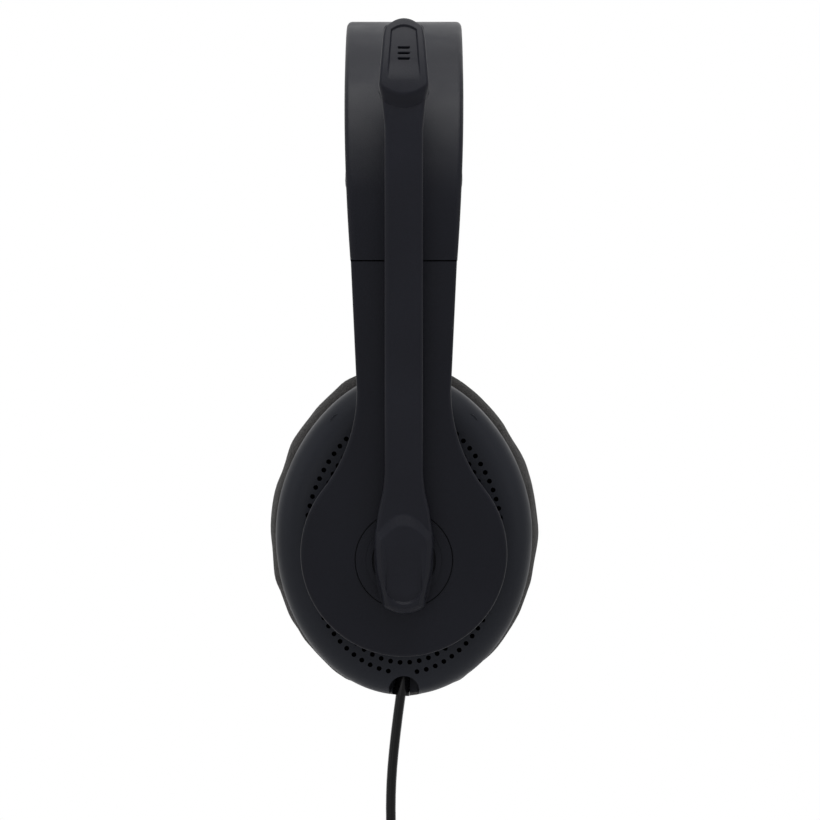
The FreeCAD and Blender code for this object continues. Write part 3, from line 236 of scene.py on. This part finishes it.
def mouldedPlastic(name, dark, light, roughness, grain=2600.0, depth=0.00006):
    # spark-eroded black plastic: even colour with faint clouds, fine pebbled grain, uneven sheen
    material, tree, shader = newMaterial(name, dark, roughness)
    place = objectPlace(tree)
    clouds = noise(tree, place, 45.0, 4.0)
    tree.links.new(blendColours(tree, spread(tree, clouds, 0.3, 0.7, 0.0, 1.0), dark, light),
                   shader.inputs["Base Color"])
    pebbles = noise(tree, place, grain, 3.0, 0.6)
    handled = noise(tree, place, 90.0, 3.0)
    tree.links.new(spread(tree, handled, 0.3, 0.7, roughness - 0.06, roughness + 0.06),
                   shader.inputs["Roughness"])
    addBump(tree, shader, pebbles, 0.5, depth)
    shader.inputs["Specular IOR Level"].default_value = plasticShine
    return material


def levelAlong(tree, direction):
    # distance along a direction, the same on both sides of the headset
    place = tree.nodes.new("ShaderNodeTexCoord")
    size = tree.nodes.new("ShaderNodeVectorMath")
    size.operation = "ABSOLUTE"
    along = tree.nodes.new("ShaderNodeVectorMath")
    along.operation = "DOT_PRODUCT"
    along.inputs[1].default_value = direction
    tree.links.new(place.outputs["Object"], size.inputs[0])
    tree.links.new(size.outputs["Vector"], along.inputs[0])
    return along.outputs["Value"]


def combine(tree, operation, first, second):
    node = tree.nodes.new("ShaderNodeMath")
    node.operation = operation
    for socket, value in zip(node.inputs, (first, second)):
        if isinstance(value, float):
            socket.default_value = value
        else:
            tree.links.new(value, socket)
    return node.outputs[0]


def paintShade(finish, mask):
    # painted shade: where the mask is 1 the plastic turns near black and stops shining, standing in for the
    # shade inside holes and grooves
    tree = finish.node_tree
    shader = tree.nodes["Principled BSDF"]
    colour = shader.inputs["Base Color"].links[0].from_socket
    mix = tree.nodes.new("ShaderNodeMix")
    mix.data_type = "RGBA"
    mix.inputs["B"].default_value = paintedShadeColour
    tree.links.new(colour, mix.inputs["A"])
    tree.links.new(mask, mix.inputs["Factor"])
    tree.links.new(mix.outputs["Result"], shader.inputs["Base Color"])
    tree.links.new(spread(tree, mask, 0.0, 1.0, plasticShine, 0.0), shader.inputs["Specular IOR Level"])
    return finish


jointSizes = {
    "level": -0.053135,          # where band and arm meet, measured along the lean
    "half": 0.0002,
}


def groovePaintedShadePlastic(name, *colours):
    # moulded plastic with painted shade: black within 0.2 mm of the line where band and arm meet, standing in
    # for the shadow in the groove there
    finish = mouldedPlastic(name, *colours)
    tree = finish.node_tree
    level = levelAlong(tree, (leanSine, 0.0, -leanCosine))
    away = combine(tree, "ABSOLUTE", combine(tree, "SUBTRACT", level, jointSizes["level"]), 0.0)
    return paintShade(finish, combine(tree, "LESS_THAN", away, jointSizes["half"]))


ventSizes = {
    "floorBelow": 0.0757,        # the holes' floors lie below this depth and face out
    "floorFacing": 0.988,
    "wallAbove": 0.07495,        # their walls lie above this depth and face sideways
    "wallFacing": 0.6,
    "ovalStretch": (0.0, 33.3, 24.6),
    "ovalShift": (0.0, 0.0, 3.29),
}


def ventPaintedShadePlastic(name, *colours):
    # moulded plastic with painted shade: black on the floors and walls of the holes inside an oval on the
    # cup's face, standing in for the shade inside them
    finish = mouldedPlastic(name, *colours)
    tree = finish.node_tree
    size = ventSizes
    depth = levelAlong(tree, (leanCosine, 0.0, leanSine))
    geometry = tree.nodes.new("ShaderNodeNewGeometry")
    split = tree.nodes.new("ShaderNodeSeparateXYZ")
    tree.links.new(geometry.outputs["True Normal"], split.inputs["Vector"])
    facing = combine(tree, "ABSOLUTE", split.outputs["X"], 0.0)
    floor = combine(tree, "MULTIPLY", combine(tree, "GREATER_THAN", facing, size["floorFacing"]),
                    combine(tree, "LESS_THAN", depth, size["floorBelow"]))
    wall = combine(tree, "MULTIPLY", combine(tree, "LESS_THAN", facing, size["wallFacing"]),
                   combine(tree, "GREATER_THAN", depth, size["wallAbove"]))
    oval = tree.nodes.new("ShaderNodeVectorMath")
    oval.operation = "LENGTH"
    tree.links.new(objectPlace(tree, size["ovalStretch"], size["ovalShift"]), oval.inputs[0])
    inside = combine(tree, "LESS_THAN", oval.outputs["Value"], 1.0)
    return paintShade(finish, combine(tree, "MULTIPLY", combine(tree, "MAXIMUM", floor, wall), inside))


def nappedFabric(name, dark, light, knit=1500.0, fibres=5200.0):
    # short napped knit: mottled threads, loose fibres and a soft sheen at grazing angles
    material, tree, shader = newMaterial(name, dark, 0.95)
    place = objectPlace(tree)
    threads = noise(tree, place, knit, 3.0, 0.7)
    fluff = noise(tree, place, fibres, 2.0, 0.6)
    both = tree.nodes.new("ShaderNodeMath")
    both.operation = "ADD"
    tree.links.new(threads, both.inputs[0])
    tree.links.new(fluff, both.inputs[1])
    tree.links.new(blendColours(tree, spread(tree, both.outputs[0], 0.75, 1.3, 0.0, 1.0), dark, light),
                   shader.inputs["Base Color"])
    addBump(tree, shader, both.outputs[0], 0.8, 0.0004)
    shader.inputs["Sheen Weight"].default_value = 0.12
    shader.inputs["Sheen Roughness"].default_value = 0.5
    shader.inputs["Specular IOR Level"].default_value = 0.2
    return material


def brushedSteel(name, stretch=(1.0, 1.0, 0.05)):
    # rolled strip: fine streaks along its length
    material, tree, shader = newMaterial(name, (0.36, 0.36, 0.37), 0.35)
    shader.inputs["Metallic"].default_value = 1.0
    streaks = noise(tree, objectPlace(tree, stretch), 2500.0, 3.0)
    tree.links.new(spread(tree, streaks, 0.3, 0.7, 0.25, 0.45), shader.inputs["Roughness"])
    addBump(tree, shader, streaks, 0.3, 0.00003)
    return material


def cordJacket(name, colour):
    # soft extruded sleeve: satin black with faint scuffs
    material, tree, shader = newMaterial(name, colour, 0.38)
    scuffs = noise(tree, objectPlace(tree), 700.0, 3.0)
    tree.links.new(spread(tree, scuffs, 0.35, 0.75, 0.15, 0.25), shader.inputs["Roughness"])
    shader.inputs["Specular IOR Level"].default_value = 0.14
    addBump(tree, shader, scuffs, 0.15, 0.00005)
    return material


def platedGold(name):
    material, tree, shader = newMaterial(name, (0.8, 0.6, 0.26), 0.22)
    shader.inputs["Metallic"].default_value = 1.0
    wear = noise(tree, objectPlace(tree), 900.0)
    tree.links.new(spread(tree, wear, 0.3, 0.7, 0.15, 0.3), shader.inputs["Roughness"])
    return material


def solderMask(name):
    # green lacquer over copper tracks that show as a faint grid of lighter lines
    material, tree, shader = newMaterial(name, (0.02, 0.12, 0.05), 0.3)
    tracks = tree.nodes.new("ShaderNodeTexBrick")
    tracks.inputs["Scale"].default_value = 450.0
    tracks.inputs["Color1"].default_value = (0.02, 0.12, 0.05, 1.0)
    tracks.inputs["Color2"].default_value = (0.018, 0.1, 0.045, 1.0)
    tracks.inputs["Mortar"].default_value = (0.05, 0.25, 0.1, 1.0)
    tree.links.new(objectPlace(tree), tracks.inputs["Vector"])
    tree.links.new(tracks.outputs["Color"], shader.inputs["Base Color"])
    return material


def speakerFilm(name):
    # thin formed film: glossy, with a finely uneven surface
    material, tree, shader = newMaterial(name, (0.3, 0.29, 0.27), 0.25)
    addBump(tree, shader, noise(tree, objectPlace(tree), 600.0), 0.3, 0.0002)
    return material


shellColours = ((0.0053, 0.0057, 0.0088), (0.0069, 0.0074, 0.0110), 0.42)
finishes = {
    "black": mouldedPlastic("blackPlastic", *shellColours),
    # painted shade along the band–arm groove
    "grooveShaded": groovePaintedShadePlastic("bandPlasticGrooveShade", *shellColours),
    # painted light: the boom's plastic is a lighter copy of the shell plastic, standing in for the light that
    # falls more on the boom than on the band
    "boom": mouldedPlastic("boomPaintedLightPlastic", (0.0070, 0.0074, 0.0110), (0.0090, 0.0095, 0.0137), 0.40),
    # painted shade inside the cup's vent holes
    "ventShaded": ventPaintedShadePlastic("cupPlasticVentShade", (0.0105, 0.0115, 0.0155), (0.0125, 0.0138, 0.0182), 0.42),
    "inner": mouldedPlastic("innerPlastic", (0.01, 0.01, 0.011), (0.014, 0.014, 0.015), 0.55, 1800.0),
    "fabric": nappedFabric("cushionFabric", (0.009, 0.0085, 0.0085), (0.042, 0.039, 0.038)),
    "cloth": nappedFabric("acousticCloth", (0.006, 0.006, 0.006), (0.02, 0.02, 0.02), 2500.0, 7000.0),
    "steel": brushedSteel("rolledSteel"),
    "jacket": cordJacket("cordJacket", (0.003, 0.003, 0.0034)),
    "gold": platedGold("platedContact"),
    "board": solderMask("solderMask"),
    "film": speakerFilm("speakerFilm"),
}

slotFinish = {"black_plastic": "black", "inner_plastic": "inner", "fabric": "fabric", "cloth": "cloth",
              "steel": "steel", "rubber": "jacket", "board": "board", "gold": "gold", "diaphragm": "film"}
nodeFinish = {"headband_outer_cover": "grooveShaded", "left_arm_shell": "grooveShaded", "right_arm_shell": "grooveShaded",
              "left_cup_shell": "ventShaded", "right_cup_shell": "ventShaded", "boom_inner_shell": "boom"}


def dressFrame():
    for part in frame["record"]["subparts"]:
        name = part["node"]
        nodes[name].data.materials.clear()
        nodes[name].data.materials.append(finishes[nodeFinish.get(name, slotFinish[part["material_slot"]])])


# cord, coil and tail

cordSizes = {
    "diameter": 0.0028,
    "length": 2.0,
    "coilRadius": 0.01675,
    "turns": 18,
    "pointsPerTurn": 12,
    "pitch": 0.00284,
    "coilCentre": (0.0574, 0.0129, -0.2515),
    "route": [(0.0578, -0.0009, -0.1794), (0.0572, -0.0027, -0.1923), (0.0568, -0.0039, -0.2079),
              (0.0568, -0.0035, -0.2234), (0.0550, -0.0042, -0.2369)],
    "tail": [(0.0594, -0.0040, -0.2660), (0.0580, -0.0025, -0.2765), (0.0572, -0.0042, -0.2895),
             (0.0574, -0.0051, -0.3035), (0.0574, -0.0051, -0.3145)],
}


def bundlePlaces():
    # columns of 3, 4, 5, 4 and 3 strands packed like honeycomb, walked up one and down the next
    places = []
    for column, count in enumerate((3, 4, 5, 4, 3)):
        heights = [(i - (count - 1) / 2) * cordSizes["pitch"] for i in range(count)]
        if column % 2:
            heights.reverse()
        across = (column - 2) * cordSizes["pitch"] * math.sqrt(3) / 2
        places += [(height, across) for height in heights]
    return np.array(places)


def coilPoints():
    # a circle in the plane that faces sideways, whose radius and side step change from turn to turn
    turns, perTurn = cordSizes["turns"], cordSizes["pointsPerTurn"]
    index = np.arange(1, turns * perTurn)
    turn = index // perTurn
    part = index / perTurn - turn
    change = np.clip((part - 0.7) / 0.3, 0.0, 1.0)
    change = change * change * (3 - 2 * change)
    places = bundlePlaces()
    step = places[turn] * (1 - change)[:, None] + places[turn + 1] * change[:, None]
    angle = math.pi + 2 * math.pi * index / perTurn
    tighten = 0.75 + 0.25 * math.cos(2 * math.pi / perTurn)
    radius = (cordSizes["coilRadius"] + step[:, 0]) / tighten
    centre = np.array(cordSizes["coilCentre"])
    return np.stack([centre[0] + step[:, 1], centre[1] + radius * np.cos(angle),
                     centre[2] + radius * np.sin(angle)], axis=1)


def addCord():
    points = np.vstack([cordSizes["route"], coilPoints(), cordSizes["tail"]])
    curve = bpy.data.curves.new("cord", "CURVE")
    curve.dimensions = "3D"
    spline = curve.splines.new("NURBS")
    spline.points.add(len(points) - 1)
    spline.points.foreach_set("co", np.hstack([points, np.ones((len(points), 1))]).ravel())
    spline.order_u = 3
    spline.use_endpoint_u = True
    spline.resolution_u = 4
    curve.bevel_depth = cordSizes["diameter"] / 2
    curve.bevel_resolution = 3
    curve.use_fill_caps = True
    cord = bpy.data.objects.new("cord", curve)
    scene.collection.objects.link(cord)
    curve.materials.append(finishes["jacket"])
    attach(cord, "left_cup")
    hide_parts("cord_tube", "cord_coil", "cord_tail")
    print("cord laid")


# boom, seen as a height over the arm's face

boomSizes = {
    "jointPlace": (0.08284, 0.0, -0.05755),   # top of the arm, where its straight line starts
    "lean": math.radians(3.0),
    "rise": 0.020,                            # the boom starts to bend this far above the joint
    "bendRadius": 0.063,
    "pivot": -0.0832,
    "split": 0.0051,                          # height where inner and outer shells meet
    "stalkTop": 0.0077,
    "capsuleTop": 0.0103,
    "edgeRound": 0.0011,
    "foot": -0.0976,
    "footArc": 0.0020,
    "waist": 0.0455,
    "waistArc": 0.0030,
    "shoulder": 0.0034,
    "crown": 0.0661,
    "crownArc": 0.0027,
    "hubRise": 0.0015,
    "hubBevel": 0.0019,
    "hubArch": 0.0134,
    "hubArchHalf": 0.0064,
    "hubArchFall": 0.0042,
    "hubArchSlope": 0.6,                      # the arch's bevel is this much flatter than the sides'
    "recess": 0.0009,
    "recessHalf": 0.0051,
    "recessLow": 0.0114,
    "recessEdge": 0.0004,
    "panelDepth": 0.0005,
    "panelHalves": [0.0047, 0.0036],
    "panelEdge": 0.0004,
    "slotHalf": 0.0016,
    "slotDepth": 0.0010,
    "slotPitch": 0.0015,
    "slotMiddle": 0.0563,
}
boomOutline = [(-0.0976, 0.0057), (-0.0956, 0.0059), (-0.0877, 0.0077), (-0.0796, 0.0082), (-0.0712, 0.00705),
               (-0.0660, 0.0058), (-0.0612, 0.0053), (0.0340, 0.0053), (0.0421, 0.0061), (0.0455, 0.0070),
               (0.0624, 0.0059), (0.0650, 0.0056), (0.0661, 0.0052)]


def smoothStep(value, start, stop):
    part = np.clip((value - start) / (stop - start), 0.0, 1.0)
    return part * part * (3.0 - 2.0 * part)


def halfWidth(level):
    # the outline's corners joined by straight lines, then averaged over 2.4 mm so that it runs smoothly
    levels, widths = np.array(boomOutline).T
    steps = np.linspace(-0.0012, 0.0012, 7)
    return sum(np.interp(level + step, levels, widths) for step in steps) / len(steps)


def bendBoom(level, across, lift):
    # straight up to the rise, then round the bend's centre, and out of the arm's frame into the headset's
    size = boomSizes
    radius = size["bendRadius"]
    turn = np.arcsin(np.clip((level - size["rise"]) / (radius + size["stalkTop"]), 0.0, 1.0))
    x = np.where(level < size["rise"], lift, (radius + lift) * np.cos(turn) - radius)
    z = np.where(level < size["rise"], level, size["rise"] + (radius + lift) * np.sin(turn))
    cosLean, sinLean = math.cos(size["lean"]), math.sin(size["lean"])
    start = np.array(size["jointPlace"])
    return np.stack([start[0] + x * cosLean + z * sinLean, start[1] + across + 0 * x,
                     start[2] - x * sinLean + z * cosLean], axis=-1)


def rounding(inside):
    # how far a face has dropped at a distance inside its edge: a quarter circle
    radius = boomSizes["edgeRound"]
    gap = radius - np.clip(inside, 0.0, radius)
    return radius - np.sqrt(np.maximum(radius * radius - gap * gap, 0.0))


def boomHeight(level, across, inside):
    # the stalk's level, plus the hub's bevelled shield under an arch, minus its thumb recess, plus the sloped
    # shoulder up to the capsule, minus the sunken panel and three slots
    size = boomSizes
    height = np.full_like(level, size["stalkTop"]) - rounding(inside)
    arch = size["pivot"] + size["hubArch"] - (across / size["hubArchHalf"]) ** 2 * size["hubArchFall"]
    within = np.minimum(inside, (arch - level) * size["hubArchSlope"])
    height += size["hubRise"] * np.clip(within / size["hubBevel"], 0.0, 1.0) * (level < size["pivot"] + 0.02)
    half = size["recessHalf"]
    low = size["pivot"] - size["recessLow"] + half - np.sqrt(np.maximum(half ** 2 - across ** 2, 0.0))
    thumb = smoothStep(np.minimum(half - np.abs(across), level - low), 0.0, size["recessEdge"])
    height -= size["recess"] * thumb * smoothStep(level, size["pivot"] + 0.006, size["pivot"] - 0.007)
    waist = size["waist"] + size["waistArc"] * (across / 0.007) ** 2
    height += (size["capsuleTop"] - size["stalkTop"]) * smoothStep(level, waist - size["shoulder"], waist)
    panelHalf = np.interp(level, [size["waist"] + 0.0035, size["crown"] - 0.003], size["panelHalves"])
    top = size["crown"] - 0.0022 - (across / size["panelHalves"][1]) ** 2 * 0.0013
    panel = smoothStep(np.minimum(panelHalf - np.abs(across), top - level), 0.0, size["panelEdge"])
    height -= size["panelDepth"] * panel * smoothStep(level, size["waist"] + 0.003, size["waist"] + 0.009)
    for step in (-1, 0, 1):
        off = np.abs(level - size["slotMiddle"] - step * size["slotPitch"])
        slot = smoothStep(0.00033 - off, 0.0, 0.00016)
        slot = slot * smoothStep(size["slotHalf"] - np.abs(across), 0.0, 0.0002)
        height -= size["slotDepth"] * slot
    return height


def closedSkin(upper, lower):
    # upper and lower sheets of the same grid, joined all round, with its faces turned outward
    rows, columns = upper.shape[:2]
    places = np.concatenate([upper.reshape(-1, 3), lower.reshape(-1, 3)])
    sheet = rows * columns
    index = np.arange(sheet).reshape(rows, columns)
    under = index + sheet
    quads = [np.stack([index[:-1, :-1], index[:-1, 1:], index[1:, 1:], index[1:, :-1]], -1).reshape(-1, 4),
             np.stack([under[:-1, :-1], under[1:, :-1], under[1:, 1:], under[:-1, 1:]], -1).reshape(-1, 4)]
    rim = np.concatenate([index[0, :], index[1:, -1], index[-1, -2::-1], index[-2:0:-1, 0]])
    onward = np.roll(rim, -1)
    quads.append(np.stack([onward, rim, rim + sheet, onward + sheet], -1))
    quads = np.concatenate(quads)
    first, second, third, fourth = (places[quads[:, corner]] for corner in range(4))
    volume = (np.cross(first, second) * third + np.cross(first, third) * fourth).sum()
    return places, quads[:, ::-1] if volume < 0 else quads


def meshFrom(name, places, quads):
    mesh = bpy.data.meshes.new(name)
    mesh.vertices.add(len(places))
    mesh.vertices.foreach_set("co", places.ravel())
    mesh.loops.add(quads.size)
    mesh.loops.foreach_set("vertex_index", quads.ravel())
    mesh.polygons.add(len(quads))
    mesh.polygons.foreach_set("loop_start", np.arange(0, quads.size, 4))
    mesh.polygons.foreach_set("use_smooth", np.ones(len(quads), dtype=bool))
    mesh.update(calc_edges=True)
    return mesh


def boomPiece(name, start, stop, startArc, stopArc, rows, columns, replaced):
    # a grid over the outline, finer towards its sides, between two arched ends; its free edges are rounded
    size = boomSizes
    along = np.linspace(0.0, 1.0, rows)[:, None]
    crowding = math.pi / 2 * 0.92
    across = np.sin(np.linspace(-1.0, 1.0, columns) * crowding)[None, :] / math.sin(crowding)
    low = start + startArc * across ** 2
    high = stop + stopArc * across ** 2
    level = low + (high - low) * along
    width = halfWidth(start + (stop - start) * along)
    y = across * width
    inside = width - np.abs(y)
    if start == size["foot"]:
        inside = np.minimum(inside, level - low)
    if stop == size["crown"]:
        inside = np.minimum(inside, high - level)
    height = boomHeight(level, y, inside)
    upper = bendBoom(level, y, height)
    lower = bendBoom(level, y, np.full_like(level, size["split"]))
    mesh = meshFrom(name, *closedSkin(upper, lower))
    mesh.materials.append(finishes["boom"])
    piece = bpy.data.objects.new(name, mesh)
    scene.collection.objects.link(piece)
    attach(piece, "boom")
    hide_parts(replaced)


def addBoom():
    size = boomSizes
    seam = size["waist"] - size["shoulder"]
    boomPiece("boomOuterShell", size["foot"], seam, size["footArc"], size["waistArc"], 520, 71,
              "boom_outer_shell")
    boomPiece("boomMicCover", seam, size["crown"], size["waistArc"], -size["crownArc"], 260, 97,
              "boom_mic_cover")
    print("boom faced")


# soft pieces

softSizes = {
    "voxel": 0.004,            # spacing of the simulated skin
    "startInside": 0.0009,     # how far the skin starts inside the solid pad
    "pressure": 4.0,
    "frames": 20,
    "earCap": 0.0024,          # how far the skin may move
    "bandCap": 0.0016,
    "puckerDepth": 0.00035,
    "bandLumps": 0.3,          # the band's pad is nearly smooth
    "bandRoom": (0.0004, -0.0006, 0.0005),       # narrower at its sides and tight under the cover
}


def skinOf(node, name):
    # an evenly meshed copy of a solid pad, drawn in a little along its normals
    source = nodes[node]
    start = bpy.data.objects.new(name + "Start", source.data.copy())
    scene.collection.objects.link(start)
    remesh = start.modifiers.new("even", "REMESH")
    remesh.mode = "VOXEL"
    remesh.voxel_size = softSizes["voxel"] if "band" not in name.lower() else softSizes["voxel"] * 0.75
    mesh = bpy.data.meshes.new_from_object(start.evaluated_get(bpy.context.evaluated_depsgraph_get()))
    bpy.data.objects.remove(start)
    places, normals = readMesh(mesh)
    mesh.vertices.foreach_set("co", (places - normals * softSizes["startInside"]).ravel())
    mesh.update()
    skin = bpy.data.objects.new(name, mesh)
    scene.collection.objects.link(skin)
    return skin


def readMesh(mesh):
    places = np.empty(len(mesh.vertices) * 3)
    mesh.vertices.foreach_get("co", places)
    normals = np.empty(len(mesh.vertices) * 3)
    mesh.vertex_normals.foreach_get("vector", normals)
    return places.reshape(-1, 3), normals.reshape(-1, 3)


def pucker(places):
    # lumps of foam under slack cloth: three crossed waves of unlike lengths, fading where two of them cancel
    waves = np.sin(places @ np.array([310.0, 190.0, 120.0]))
    waves = waves + np.sin(places @ np.array([-140.0, 260.0, 330.0]) + 1.3)
    return waves * np.sin(places @ np.array([90.0, 420.0, -210.0]) + 0.6) * softSizes["puckerDepth"]


def fitTo(places, low, high):
    # stretched along each axis so that the skin fills the room of the solid pad
    least, most = places.min(axis=0), places.max(axis=0)
    return np.array(low) + (places - least) * ((np.array(high) - np.array(low)) / (most - least))


def puffPad(node, name, body, cap, lumps, room):
    # cloth under air pressure swells the skin, the movement is capped, and the result becomes its mesh
    skin = skinOf(node, name)
    mesh = skin.data
    places, normals = readMesh(mesh)
    cloth = skin.modifiers.new("cloth", "CLOTH")
    cloth.settings.use_pressure = True
    cloth.settings.uniform_pressure_force = softSizes["pressure"]
    cloth.settings.effector_weights.gravity = 0.0
    cloth.point_cache.frame_end = softSizes["frames"]
    for frameNumber in range(1, softSizes["frames"] + 1):
        scene.frame_set(frameNumber)
    blown = skin.evaluated_get(bpy.context.evaluated_depsgraph_get()).to_mesh()
    swollen, _ = readMesh(blown)
    swollen = swollen.copy()
    skin.modifiers.remove(cloth)
    scene.frame_set(1)
    move = swollen - places
    far = np.linalg.norm(move, axis=1, keepdims=True)
    move *= np.minimum(1.0, cap / np.maximum(far, 1e-9))
    low, high = (np.array(corner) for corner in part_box(node))
    puffed = fitTo(places + move, low - np.array(room) * (1.0, 1.0, 0.0), high + np.array(room))
    mesh.vertices.foreach_set("co", (puffed + normals * lumps * pucker(places)[:, None]).ravel())
    mesh.polygons.foreach_set("use_smooth", np.ones(len(mesh.polygons), dtype=bool))
    mesh.update()
    smooth = skin.modifiers.new("smooth", "SUBSURF")
    smooth.levels = smooth.render_levels = 1
    mesh.materials.clear()
    mesh.materials.append(finishes["fabric"])
    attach(skin, body)
    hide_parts(node)
    return skin


def addSoftPieces():
    for side in ("left", "right"):
        puffPad(side + "_ear_cushion", side + "EarCushion", side + "_cup", softSizes["earCap"], 1.0,
                (0.0, 0.0, 0.0))
    puffPad("headband_pad", "headbandPad", "headband", softSizes["bandCap"], softSizes["bandLumps"],
            softSizes["bandRoom"])
    print("pads puffed")


addCamera()
addWorld()
addFloor()
addLamp("topLight", (0.28, 0.0, 1.2), (0.0, 0.0, -0.05), studio["topPower"], studio["topSize"],
        studio["topSize"])
addLamp("frontLight", (1.6, -0.6, -0.3), (0.0, 0.0, -0.1), studio["frontPower"], 1.0, 1.0)
addLamp("backLight", (0.9, 1.4, 0.2), (0.0, 0.0, -0.1), studio["rimPower"], 0.6, 1.2)
addLamp("foreLight", (0.6, -1.5, 0.2), (0.0, 0.0, -0.1), studio["rimPower"], 0.6, 1.2)
dressFrame()
addCord()
addSoftPieces()
addBoom()
